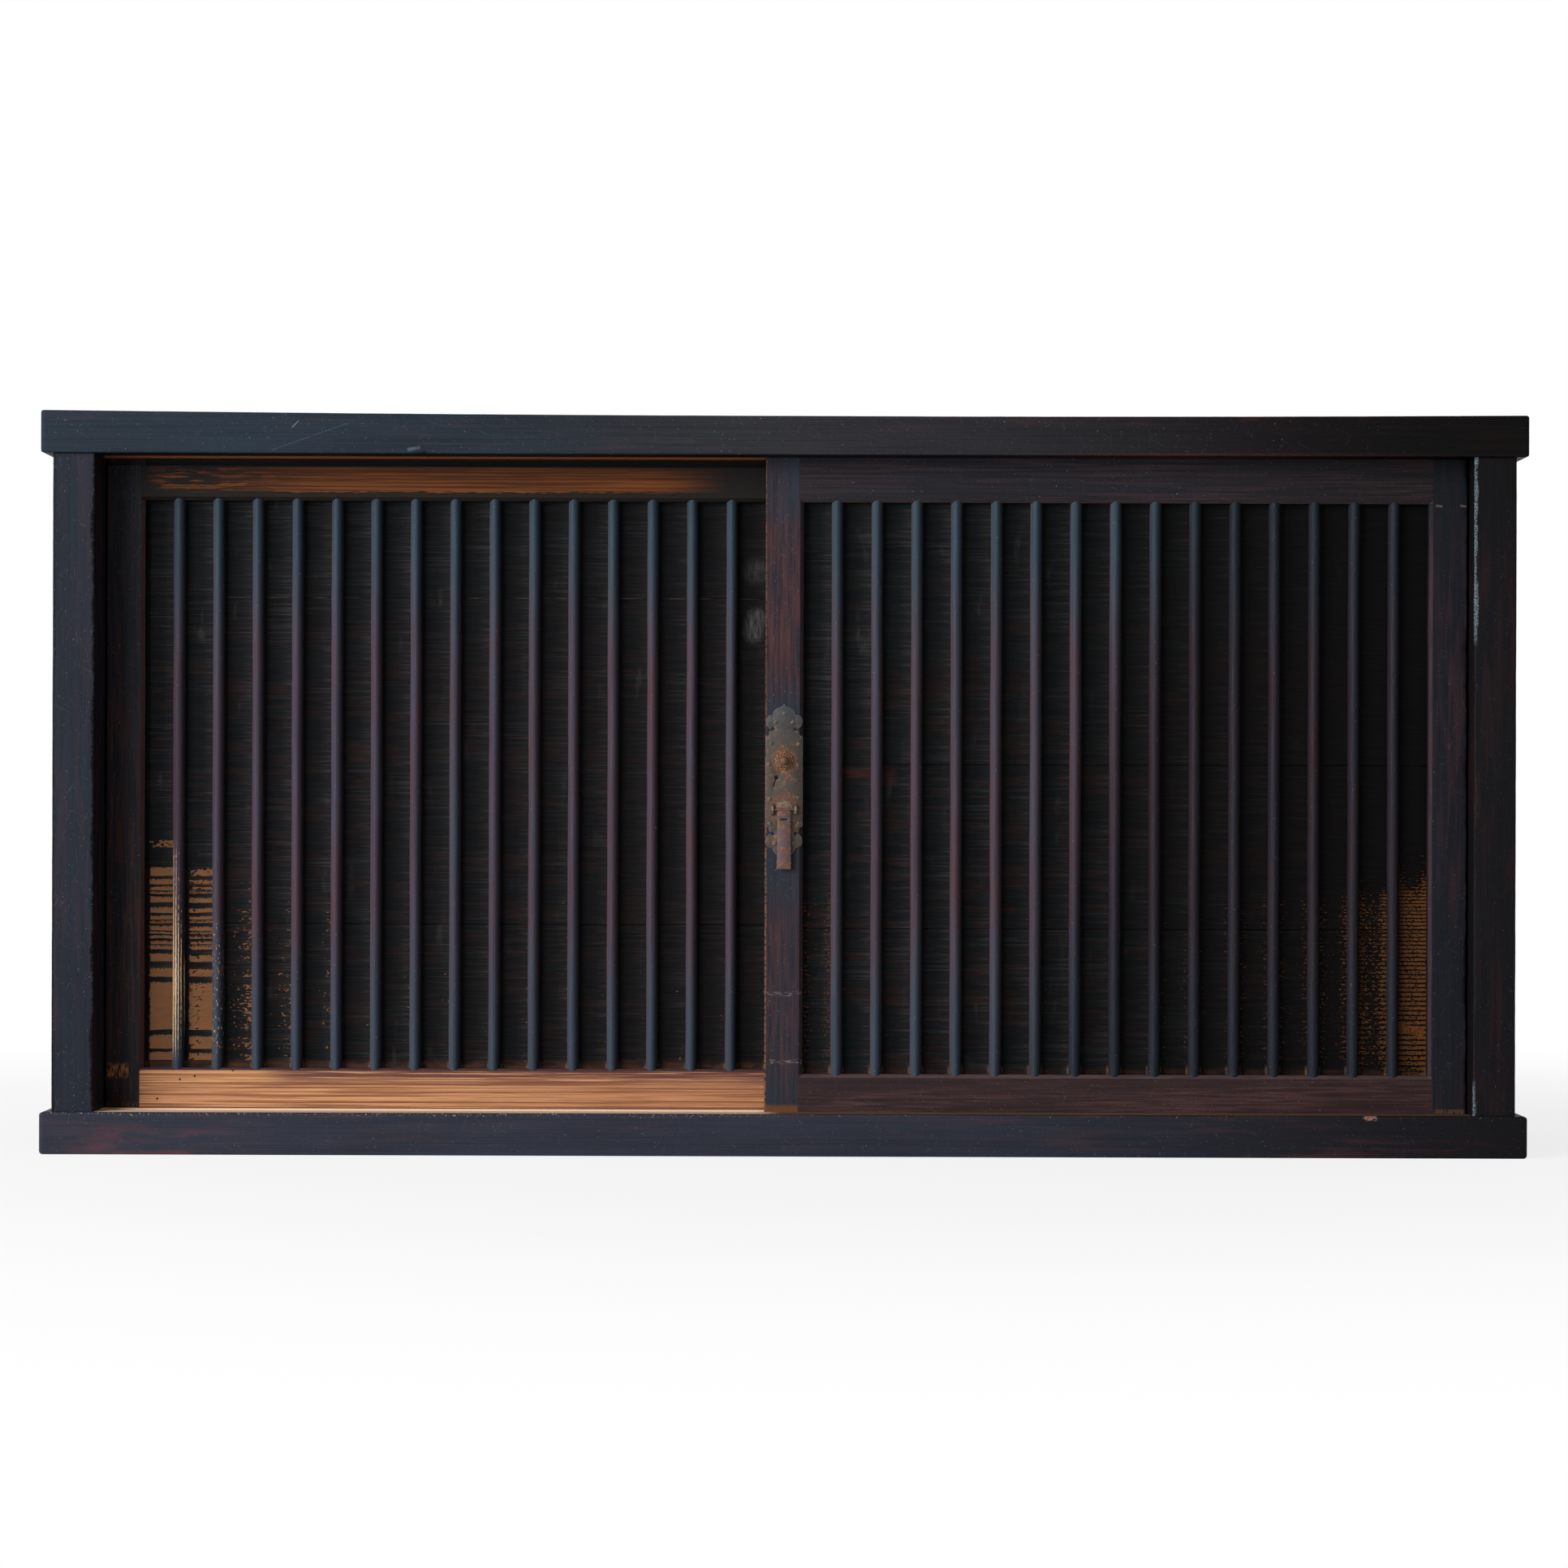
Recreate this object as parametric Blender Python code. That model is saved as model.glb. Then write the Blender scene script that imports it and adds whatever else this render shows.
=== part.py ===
"""A low Japanese kitchen chest with two lattice doors that slide past each other.

Metres, +Z up, +X to the right as seen from the front, and the front looks along -Y.
The origin is on the floor, under the middle of the chest.
"""

import math

import bmesh
import bpy
from mathutils import Vector

# The whole chest
OVERALL_WIDTH = 1.515
OVERALL_DEPTH = 0.424
OVERALL_HEIGHT = 0.7575

# Clearances
SEAT_GAP = 0.0003  # between pieces that touch
TRACK_CLEARANCE = 0.0007  # each side of a door's tongue in its groove
DOOR_END_GAP = 0.0024  # between a shut door and its post
DOOR_GAP = 0.003  # between the two doors
CUT_OVERRUN = 0.005  # how far a cutter runs past the face that it cuts

# Carcass timber
TOP_THICKNESS = 0.0435
TOP_FRONT_PLANK_DEPTH = 0.190
BASE_HEIGHT = 0.043
SILL_DEPTH = 0.110
BASE_RAIL_WIDTH = 0.055
END_OVERHANG = 0.012  # top and base past the posts, at each end
FRONT_OVERHANG = 0.005  # top and base in front of the posts
POST_WIDTH = 0.043
POST_DEPTH = 0.043
TENON_SHOULDER = 0.011
POST_TENON_LENGTH = 0.026
BASE_TENON_LENGTH = 0.018
ARRIS = 0.0022  # the eased edge of the sawn timber

# Thin boards of the carcass
FLOOR_THICKNESS = 0.012
FLOOR_BEARING = 0.012
FLOOR_DROP = 0.001  # floor boards below the face of the sill
SIDE_THICKNESS = 0.009
SIDE_INSET = 0.012  # boards behind the outer faces of the posts
SIDE_RAIL_HEIGHT = 0.036
SIDE_RAIL_THICKNESS = 0.010
BACK_THICKNESS = 0.009
BACK_INSET = 0.014
BATTEN_WIDTH = 0.036
BATTEN_THICKNESS = 0.011
BATTEN_PLACE_SHARE = 0.36  # of half the opening, out from the middle
BOARD_GROOVE_DEPTH = 0.006
SHELF_THICKNESS = 0.012
SHELF_SETBACK = 0.013  # behind the rear door
SHELF_HEIGHT_SHARE = 0.49  # of the inner height, at the shelf's underside
SHELF_BATTEN_DEPTH = 0.020
CLEAT_SIZE = 0.018
DOOR_STOP_OVERLAP = 0.003  # door stop's rear face behind the rear door's

# Doors
DOOR_RECESS = 0.035  # front door's face behind the front of the top
DOOR_THICKNESS = 0.027
STILE_WIDTH = 0.039
TOP_RAIL_HEIGHT = 0.0455  # the part that shows below the top
BOTTOM_RAIL_HEIGHT = 0.0387  # the part that shows above the sill
FRAME_CHAMFER = 0.0036
REAR_OPENING_LIFT = 0.0025  # the rear door's opening sits this much higher
TONGUE_REBATE = 0.006
TOP_GROOVE_DEPTH = 0.014
TONGUE_IN_TOP = 0.008
LIFT_GAP = 0.007  # from the door's top shoulder to the underside of the top
SILL_GROOVE_DEPTH = 0.003
RAIL_TENON_LENGTH = 0.024
RAIL_TENON_THICKNESS = 0.007
RAIL_TENON_HEIGHT = 0.024
RAIL_TENON_SETBACK = 0.0195  # tenon's front face behind the door's face
PANEL_SETBACK = 0.013
PANEL_THICKNESS = 0.006
PANEL_GROOVE_DEPTH = 0.006
BOARD_JOINT_WIDTH = 0.0011
BOARD_JOINT_DEPTH = 0.0012
LEFT_JOINT_SHARES = (0.254, 0.830)  # of the opening's height, up from its foot
RIGHT_JOINT_SHARES = (0.254, 0.542)

# Lattice bars
BAR_COUNT = 15
BAR_WIDTH = 0.012
BAR_DEPTH = 0.0112
BAR_SETBACK = 0.0015
BAR_TENON_LENGTH = 0.006
BAR_FLAT_SHARE = 0.42  # of its depth, behind the half-round
BAR_ARC_STEPS = 8

# Iron lock on the front door
PLATE_WIDTH = 0.0378
PLATE_HEIGHT = 0.1605
PLATE_THICKNESS = 0.0012
PLATE_CENTRE_HEIGHT = 0.382
PLATE_CREST_HEIGHT = 0.035
PLATE_EYE_RADIUS = 0.0021
NAIL_HEAD_RADIUS = 0.0021
NAIL_HEAD_HEIGHT = 0.0011
HINGE_SEAT_RADIUS = 0.0094
HINGE_SEAT_THICKNESS = 0.0008
KEYHOLE_RADIUS = 0.0023
KEYHOLE_SLOT_WIDTH = 0.0012
KEYHOLE_SLOT_LENGTH = 0.0098
KEYHOLE_SLOT_LEAN = math.radians(18)
KEYHOLE_DEPTH = 0.005  # into the lock case
KEY_PIN_RADIUS = 0.0008
KNOB_ROSETTE_RADIUS = 0.0097
KNOB_PROJECTION = 0.0135
KNOB_PETALS = 8
KNOB_PETAL_STEPS = 6  # points round each petal
EAR_THICKNESS = 0.0026
EAR_HEIGHT = 0.0118
EAR_PROJECTION = 0.0066
EAR_SPACING = 0.0212  # between the inner faces of the two ears
PIN_RADIUS = 0.0008
PIN_HEAD_RADIUS = 0.0014
PIN_HEAD_LENGTH = 0.0007
PIN_STANDOFF = 0.0042  # axis in front of the plate's face
HASP_BARREL_RADIUS = 0.0019
HASP_TOP_WIDTH = 0.0130
HASP_END_WIDTH = 0.0146
HASP_LENGTH = 0.0610
HASP_THICKNESS = 0.0016
HASP_END_ROUND = 0.0012
HASP_SLOT_WIDTH = 0.0072
HASP_SLOT_HEIGHT = 0.0022
HASP_SLOT_DROP = 0.0100
LOCK_CASE_WIDTH = 0.024
LOCK_CASE_DEPTH = 0.015
LOCK_CASE_HEIGHT = 0.058
BOLT_WIDTH = 0.008
BOLT_HEIGHT = 0.012
BOLT_SETBACK = 0.0006  # the drawn bolt's nose inside the door's rear face
BOLT_SOCKET_DEPTH = 0.011

# Places on the lock plate: across as shares of half its width, up as shares of half its height
NAIL_SHARES = (
    (0.00, 0.865),
    (-0.46, 0.760),
    (0.48, 0.755),
    (-0.70, 0.492),
    (0.77, 0.475),
    (-0.82, 0.217),
    (0.74, 0.210),
    (-0.78, -0.222),
    (0.74, -0.208),
    (-0.78, -0.538),
    (0.76, -0.540),
    (-0.49, -0.797),
    (0.49, -0.797),
)
KNOB_HEIGHT_SHARE = 0.262
KEYHOLE_ACROSS_SHARE = -0.42
KEYHOLE_HEIGHT_SHARE = 0.049
PIN_HEIGHT_SHARE = -0.362
LOCK_CASE_HEIGHT_SHARE = 0.02
BOLT_HEIGHT_SHARE = 0.10

# The plate's crest from its shoulder to its tip: across as shares of half the plate's
# width, up as shares of the crest's height
CREST_SHARES = (
    (1.00, 0.00),
    (0.98, 0.035),
    (0.86, 0.06),
    (0.82, 0.13),
    (0.74, 0.17),
    (0.72, 0.21),
    (0.96, 0.26),
    (1.00, 0.36),
    (0.99, 0.47),
    (0.90, 0.56),
    (0.74, 0.63),
    (0.60, 0.69),
    (0.56, 0.76),
    (0.44, 0.83),
    (0.29, 0.88),
    (0.13, 0.92),
    (0.00, 1.00),
)
EYE_ACROSS_SHARE = 0.64
EYE_HEIGHT_SHARE = 0.235

# A nail head's turned outline: radius and height as shares of its own
NAIL_PROFILE_SHARES = (
    (1.00, 0.00),
    (0.94, 0.45),
    (0.66, 0.84),
    (0.26, 1.00),
)

# The knob's turned outline: radius as a share of the rosette's, height as a share of the
# whole, and how deep its petals are cut as a share of the radius
KNOB_PROFILE_SHARES = (
    (0.93, 0.00, 0.06),
    (1.00, 0.05, 0.07),
    (0.95, 0.15, 0.08),
    (0.80, 0.20, 0.07),
    (0.72, 0.21, -0.06),
    (0.70, 0.27, -0.08),
    (0.56, 0.33, -0.07),
    (0.38, 0.34, -0.02),
    (0.30, 0.40, 0.00),
    (0.37, 0.50, 0.00),
    (0.42, 0.62, 0.00),
    (0.38, 0.75, 0.00),
    (0.26, 0.87, 0.00),
    (0.11, 0.96, 0.00),
)

ROUND_STEPS = 24
SMALL_ROUND_STEPS = 12

# What follows from the sizes above
FRONT_Y = -OVERALL_DEPTH / 2
REAR_Y = OVERALL_DEPTH / 2
TOP_UNDERSIDE = OVERALL_HEIGHT - TOP_THICKNESS
POST_OUTER_X = OVERALL_WIDTH / 2 - END_OVERHANG
POST_INNER_X = POST_OUTER_X - POST_WIDTH
POST_FRONT_Y = FRONT_Y + FRONT_OVERHANG
REAR_POST_FRONT_Y = REAR_Y - POST_DEPTH
FRONT_DOOR_Y = FRONT_Y + DOOR_RECESS
REAR_DOOR_Y = FRONT_DOOR_Y + DOOR_THICKNESS + DOOR_GAP
DOOR_WIDTH = POST_INNER_X - DOOR_END_GAP + STILE_WIDTH / 2
DOOR_TRAVEL = 2 * (POST_INNER_X - DOOR_END_GAP) - DOOR_WIDTH
DOOR_BOTTOM = BASE_HEIGHT - SILL_GROOVE_DEPTH + SEAT_GAP
DOOR_TOP = TOP_UNDERSIDE + TONGUE_IN_TOP
DOOR_OPENING_BOTTOM = BASE_HEIGHT + BOTTOM_RAIL_HEIGHT
DOOR_OPENING_TOP = TOP_UNDERSIDE - TOP_RAIL_HEIGHT
RAIL_LIP = FRAME_CHAMFER + 2 * SEAT_GAP  # how far and deep a rail's front lip runs
SHELF_BOTTOM = BASE_HEIGHT + SHELF_HEIGHT_SHARE * (TOP_UNDERSIDE - BASE_HEIGHT)
SHELF_FRONT_Y = REAR_DOOR_Y + DOOR_THICKNESS + SHELF_SETBACK
SIDE_OUTER_X = POST_OUTER_X - SIDE_INSET
SIDE_INNER_X = SIDE_OUTER_X - SIDE_THICKNESS
BACK_REAR_Y = REAR_Y - BACK_INSET
BACK_FRONT_Y = BACK_REAR_Y - BACK_THICKNESS
PLATE_BACK_Y = FRONT_DOOR_Y - SEAT_GAP
PLATE_FRONT_Y = PLATE_BACK_Y - PLATE_THICKNESS
PIN_AXIS = Vector(
    (
        0,
        PLATE_FRONT_Y - PIN_STANDOFF,
        PLATE_CENTRE_HEIGHT + PIN_HEIGHT_SHARE * PLATE_HEIGHT / 2,
    )
)


def clear_scene():
    for obj in list(bpy.data.objects):
        bpy.data.objects.remove(obj)


def finish(name, colour, roughness, metallic=0.0):
    """A plain material, its colour given in linear light."""
    material = bpy.data.materials.new(name)
    material.use_nodes = True
    shader = material.node_tree.nodes["Principled BSDF"]
    shader.inputs["Base Color"].default_value = (*colour, 1.0)
    shader.inputs["Roughness"].default_value = roughness
    shader.inputs["Metallic"].default_value = metallic
    return material


def make_finishes():
    """The finishes of the chest: dark stain over cedar and cypress, and rusted iron."""
    return {
        "frame": finish("stained_frame_wood", (0.020, 0.016, 0.017), 0.42),
        "bar": finish("stained_bar_wood", (0.055, 0.032, 0.034), 0.45),
        "panel": finish("stained_board", (0.018, 0.014, 0.013), 0.55),
        "plain": finish("unstained_cedar", (0.300, 0.165, 0.080), 0.65),
        "iron": finish("rusted_iron", (0.100, 0.072, 0.058), 0.70, 0.6),
    }


def empty_at(name, place, parent=None):
    """A named axis system that a moving group hangs from."""
    empty = bpy.data.objects.new(name, None)
    bpy.context.scene.collection.objects.link(empty)
    empty["place"] = list(place)
    attach(empty, Vector(place), parent)
    return empty


def attach(obj, place, parent):
    """Puts an object at a place in the world, whatever it hangs from."""
    origin = Vector(parent["place"]) if parent else Vector()
    obj.parent = parent
    obj.location = Vector(place) - origin


def object_of(name, bm, place, material, parent):
    """The object made from a bmesh whose points are measured from its place."""
    bmesh.ops.recalc_face_normals(bm, faces=bm.faces)
    mesh = bpy.data.meshes.new(name)
    bm.to_mesh(mesh)
    bm.free()
    mesh.materials.append(material)
    obj = bpy.data.objects.new(name, mesh)
    bpy.context.scene.collection.objects.link(obj)
    attach(obj, place, parent)
    return obj


def add_box(bm, low, high):
    """A closed box in bm between two corners."""
    low, high = Vector(low), Vector(high)
    made = bmesh.ops.create_cube(bm, size=1.0)["verts"]
    for vert in made:
        vert.co = Vector(
            (low[k] + high[k]) / 2 + vert.co[k] * (high[k] - low[k]) for k in range(3)
        )
    return made


def board(name, low, high, material, parent=None, eased=0.0):
    """A sawn piece between two corners in the world, its edges eased if asked."""
    place = (Vector(low) + Vector(high)) / 2
    bm = bmesh.new()
    add_box(bm, Vector(low) - place, Vector(high) - place)
    obj = object_of(name, bm, place, material, parent)
    if eased:
        bevel = obj.modifiers.new("eased_edges", "BEVEL")
        bevel.width = eased
        bevel.segments = 1
        bevel.limit_method = "ANGLE"
    return obj


def add_tenon(obj, axis, end, low, high):
    """Grows a tenon out of a board's largest end face, to the world corners low and high."""
    bm = bmesh.new()
    bm.from_mesh(obj.data)
    place = Vector(obj.location)
    if obj.parent:
        place += Vector(obj.parent["place"])
    bm.normal_update()
    face = max(bm.faces, key=lambda f: (round(f.normal[axis] * end), f.calc_area()))
    ring = bmesh.ops.extrude_face_region(bm, geom=[face])
    bmesh.ops.delete(bm, geom=[face], context="FACES_ONLY")
    verts = [v for v in ring["geom"] if isinstance(v, bmesh.types.BMVert)]
    middle = sum((v.co for v in verts), Vector()) / len(verts)
    for vert in verts:
        for k in range(3):
            if k != axis:
                corner = high if vert.co[k] > middle[k] else low
                vert.co[k] = corner[k] - place[k]
    cap = next(f for f in ring["geom"] if isinstance(f, bmesh.types.BMFace))
    longer = bmesh.ops.extrude_face_region(bm, geom=[cap])
    bmesh.ops.delete(bm, geom=[cap], context="FACES_ONLY")
    tip = high if end > 0 else low
    for vert in longer["geom"]:
        if isinstance(vert, bmesh.types.BMVert):
            vert.co[axis] = tip[axis] - place[axis]
    bmesh.ops.recalc_face_normals(bm, faces=bm.faces)
    bm.to_mesh(obj.data)
    bm.free()


def grown(low, high, gap=SEAT_GAP):
    """A box with a clearance all round it."""
    step = Vector((gap, gap, gap))
    return Vector(low) - step, Vector(high) + step


def helper(name, bm):
    """A hidden shape that cuts or joins."""
    bmesh.ops.recalc_face_normals(bm, faces=bm.faces)
    mesh = bpy.data.meshes.new(name)
    bm.to_mesh(mesh)
    bm.free()
    obj = bpy.data.objects.new(name, mesh)
    bpy.context.scene.collection.objects.link(obj)
    obj.hide_render = True
    obj.display_type = "WIRE"
    return obj


def boxes(name, corners):
    """One helper that holds several separate boxes."""
    bm = bmesh.new()
    for low, high in corners:
        add_box(bm, low, high)
    return helper(name, bm)


def combine(obj, other, operation="DIFFERENCE"):
    step = obj.modifiers.new(other.name, "BOOLEAN")
    step.operation = operation
    step.solver = "EXACT"
    step.object = other


def add_prism(bm, outline, axis, start, end):
    """A closed prism along world axis 0, 1 or 2, from an outline in the other two."""
    across = [k for k in range(3) if k != axis]
    rings = []
    for reach in (start, end):
        ring = []
        for first, second in outline:
            point = Vector()
            point[across[0]] = first
            point[across[1]] = second
            point[axis] = reach
            ring.append(bm.verts.new(point))
        rings.append(ring)
    for i in range(len(outline)):
        j = (i + 1) % len(outline)
        bm.faces.new((rings[0][i], rings[0][j], rings[1][j], rings[1][i]))
    bm.faces.new(rings[0])
    bm.faces.new(rings[1])


def circle(across, up, radius, steps=ROUND_STEPS):
    """The outline of a circle about a point."""
    turns = [math.tau * i / steps for i in range(steps)]
    return [(across + radius * math.sin(t), up + radius * math.cos(t)) for t in turns]


def add_revolved(bm, centre, direction, profile, steps):
    """A closed body turned about a line, from (radius, height, petal depth) down its side."""
    out = Vector((0, 0, 1))
    aside = Vector(direction).cross(out)
    rings = []
    for radius, height, petal in profile:
        ring = []
        for i in range(steps):
            turn = math.tau * i / steps
            reach = radius * (1 + petal * math.cos(KNOB_PETALS * turn))
            ring.append(
                bm.verts.new(
                    Vector(centre)
                    + height * Vector(direction)
                    + reach * math.cos(turn) * out
                    + reach * math.sin(turn) * aside
                )
            )
        rings.append(ring)
    for lower, upper in zip(rings, rings[1:]):
        for i in range(steps):
            j = (i + 1) % steps
            bm.faces.new((lower[i], lower[j], upper[j], upper[i]))
    bm.faces.new(rings[0])
    bm.faces.new(rings[-1])


def shade_round(obj, angle=math.radians(35)):
    obj.data.shade_smooth()
    obj.data.set_sharp_from_angle(angle=angle)


def track_grooves(name, bottom, top):
    """Cutter for the two door grooves between the posts, from height bottom to top."""
    corners = []
    for tongue_front in (FRONT_DOOR_Y, REAR_DOOR_Y + TONGUE_REBATE):
        tongue_rear = tongue_front + DOOR_THICKNESS - TONGUE_REBATE
        corners.append(
            (
                (-POST_INNER_X, tongue_front - TRACK_CLEARANCE, bottom),
                (POST_INNER_X, tongue_rear + TRACK_CLEARANCE, top),
            )
        )
    return boxes(name, corners)


def post_box(side, front):
    """World corners of one post's body, between the base and the top."""
    inner, outer = sorted((side * POST_INNER_X, side * POST_OUTER_X))
    y = POST_FRONT_Y if front else REAR_POST_FRONT_Y
    return (
        Vector((inner, y, BASE_HEIGHT + SEAT_GAP)),
        Vector((outer, y + POST_DEPTH, TOP_UNDERSIDE - SEAT_GAP)),
    )


def post_tenons(side, front):
    """World corners of the stub tenons at a post's foot and head."""
    low, high = post_box(side, front)
    shoulder = Vector((TENON_SHOULDER, TENON_SHOULDER, 0))
    foot = (
        low + shoulder - Vector((0, 0, POST_TENON_LENGTH)),
        Vector((high.x, high.y, low.z)) - shoulder,
    )
    head = (
        Vector((low.x, low.y, high.z)) + shoulder,
        high - shoulder + Vector((0, 0, POST_TENON_LENGTH)),
    )
    return foot, head


def make_posts(finishes, parent):
    for front in (True, False):
        for side, word in ((-1, "left"), (1, "right")):
            name = f"{'front' if front else 'rear'}_{word}_post"
            low, high = post_box(side, front)
            post = board(name, low, high, finishes["frame"], parent)
            foot, head = post_tenons(side, front)
            add_tenon(post, 2, -1, *foot)
            add_tenon(post, 2, 1, *head)
            combine(post, side_groove(side))
            if not front:
                combine(post, back_groove())


def all_post_mortises(front, at_top):
    """Cutter for the mortises that two posts stand in."""
    corners = []
    for side in (-1, 1):
        foot, head = post_tenons(side, front)
        low, high = grown(*(head if at_top else foot))
        if at_top:
            low.z -= CUT_OVERRUN
        else:
            high.z += CUT_OVERRUN
        corners.append((low, high))
    where = f"{'front' if front else 'rear'}_{'top' if at_top else 'base'}"
    return boxes(f"cut_{where}_post_mortises", corners)


def side_board_box(side):
    """World corners of a side's boards, tongues in the posts included."""
    inner, outer = sorted((side * SIDE_INNER_X, side * SIDE_OUTER_X))
    reach = BOARD_GROOVE_DEPTH - SEAT_GAP
    return (
        Vector((inner, POST_FRONT_Y + POST_DEPTH - reach, BASE_HEIGHT + SEAT_GAP)),
        Vector((outer, REAR_POST_FRONT_Y + reach, TOP_UNDERSIDE - SEAT_GAP)),
    )


def side_groove(side):
    """Cutter for the grooves in the two posts that hold a side's boards."""
    low, high = grown(*side_board_box(side))
    low.z -= CUT_OVERRUN
    high.z += CUT_OVERRUN
    return boxes(f"cut_side_groove_{'left' if side < 0 else 'right'}", [(low, high)])


def back_board_box():
    """World corners of the back boards, tongues in the rear posts included."""
    reach = POST_INNER_X + BOARD_GROOVE_DEPTH - SEAT_GAP
    return (
        Vector((-reach, BACK_FRONT_Y, BASE_HEIGHT + SEAT_GAP)),
        Vector((reach, BACK_REAR_Y, TOP_UNDERSIDE - SEAT_GAP)),
    )


def back_groove():
    low, high = grown(*back_board_box())
    low.z -= CUT_OVERRUN
    high.z += CUT_OVERRUN
    return boxes("cut_back_groove", [(low, high)])


def make_top(finishes, parent):
    """Two planks side by side. The front one carries the upper door grooves."""
    split = FRONT_Y + TOP_FRONT_PLANK_DEPTH
    half = OVERALL_WIDTH / 2
    front = board(
        "top_front_plank",
        (-half, FRONT_Y, TOP_UNDERSIDE),
        (half, split, OVERALL_HEIGHT),
        finishes["frame"],
        parent,
        ARRIS,
    )
    combine(
        front,
        track_grooves(
            "cut_top_grooves",
            TOP_UNDERSIDE - CUT_OVERRUN,
            TOP_UNDERSIDE + TOP_GROOVE_DEPTH,
        ),
    )
    combine(front, all_post_mortises(True, True))
    rear = board(
        "top_rear_plank",
        (-half, split + SEAT_GAP, TOP_UNDERSIDE),
        (half, REAR_Y, OVERALL_HEIGHT),
        finishes["frame"],
        parent,
        ARRIS,
    )
    combine(rear, all_post_mortises(False, True))


def floor_box():
    """World corners of the floor boards, which lie in a rebate round the base."""
    reach_x = OVERALL_WIDTH / 2 - BASE_RAIL_WIDTH + FLOOR_BEARING
    return (
        Vector(
            (
                -reach_x + SEAT_GAP,
                FRONT_Y + SILL_DEPTH - FLOOR_BEARING + SEAT_GAP,
                BASE_HEIGHT - FLOOR_DROP - FLOOR_THICKNESS,
            )
        ),
        Vector(
            (
                reach_x - SEAT_GAP,
                REAR_Y - BASE_RAIL_WIDTH + FLOOR_BEARING - SEAT_GAP,
                BASE_HEIGHT - FLOOR_DROP,
            )
        ),
    )


def base_end_box(side):
    """World corners of a base end rail, between the front sill and the rear rail."""
    half = OVERALL_WIDTH / 2
    inner, outer = sorted((side * (half - BASE_RAIL_WIDTH), side * half))
    return (
        Vector((inner, FRONT_Y + SILL_DEPTH + SEAT_GAP, 0)),
        Vector((outer, REAR_Y - BASE_RAIL_WIDTH - SEAT_GAP, BASE_HEIGHT)),
    )


def base_end_tenons(side):
    """World corners of an end rail's tenons, front then rear."""
    low, high = base_end_box(side)
    shoulder = Vector((TENON_SHOULDER, 0, TENON_SHOULDER))
    reach = Vector((0, BASE_TENON_LENGTH, 0))
    front = (
        low + shoulder - reach,
        Vector((high.x, low.y, high.z)) - shoulder,
    )
    rear = (
        Vector((low.x, high.y, low.z)) + shoulder,
        high - shoulder + reach,
    )
    return front, rear


def base_mortises(front):
    """Cutter for the mortises that the two end rails' tenons stand in."""
    corners = []
    for side in (-1, 1):
        low, high = grown(*base_end_tenons(side)[0 if front else 1])
        if front:
            high.y += CUT_OVERRUN
        else:
            low.y -= CUT_OVERRUN
        corners.append((low, high))
    return boxes(f"cut_base_{'front' if front else 'rear'}_mortises", corners)


def make_base(finishes, parent):
    """The frame that the chest stands on: sill, rear rail, two end rails and floor."""
    half = OVERALL_WIDTH / 2
    rebate_low, rebate_high = grown(*floor_box())
    rebate_high.z += CUT_OVERRUN
    rebate = boxes("cut_floor_rebate", [(rebate_low, rebate_high)])

    sill = board(
        "base_front_sill",
        (-half, FRONT_Y, 0),
        (half, FRONT_Y + SILL_DEPTH, BASE_HEIGHT),
        finishes["frame"],
        parent,
        ARRIS,
    )
    combine(
        sill,
        track_grooves(
            "cut_sill_grooves",
            BASE_HEIGHT - SILL_GROOVE_DEPTH,
            BASE_HEIGHT + CUT_OVERRUN,
        ),
    )
    combine(sill, all_post_mortises(True, False))
    combine(sill, base_mortises(True))
    combine(sill, rebate)

    rear = board(
        "base_rear_rail",
        (-half, REAR_Y - BASE_RAIL_WIDTH, 0),
        (half, REAR_Y, BASE_HEIGHT),
        finishes["frame"],
        parent,
        ARRIS,
    )
    combine(rear, all_post_mortises(False, False))
    combine(rear, base_mortises(False))
    combine(rear, rebate)

    for side, word in ((-1, "left"), (1, "right")):
        low, high = base_end_box(side)
        rail = board(f"base_{word}_rail", low, high, finishes["frame"], parent)
        front_tenon, rear_tenon = base_end_tenons(side)
        add_tenon(rail, 1, -1, *front_tenon)
        add_tenon(rail, 1, 1, *rear_tenon)
        combine(rail, rebate)

    low, high = floor_box()
    board("floor_board", low, high, finishes["plain"], parent)


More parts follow.
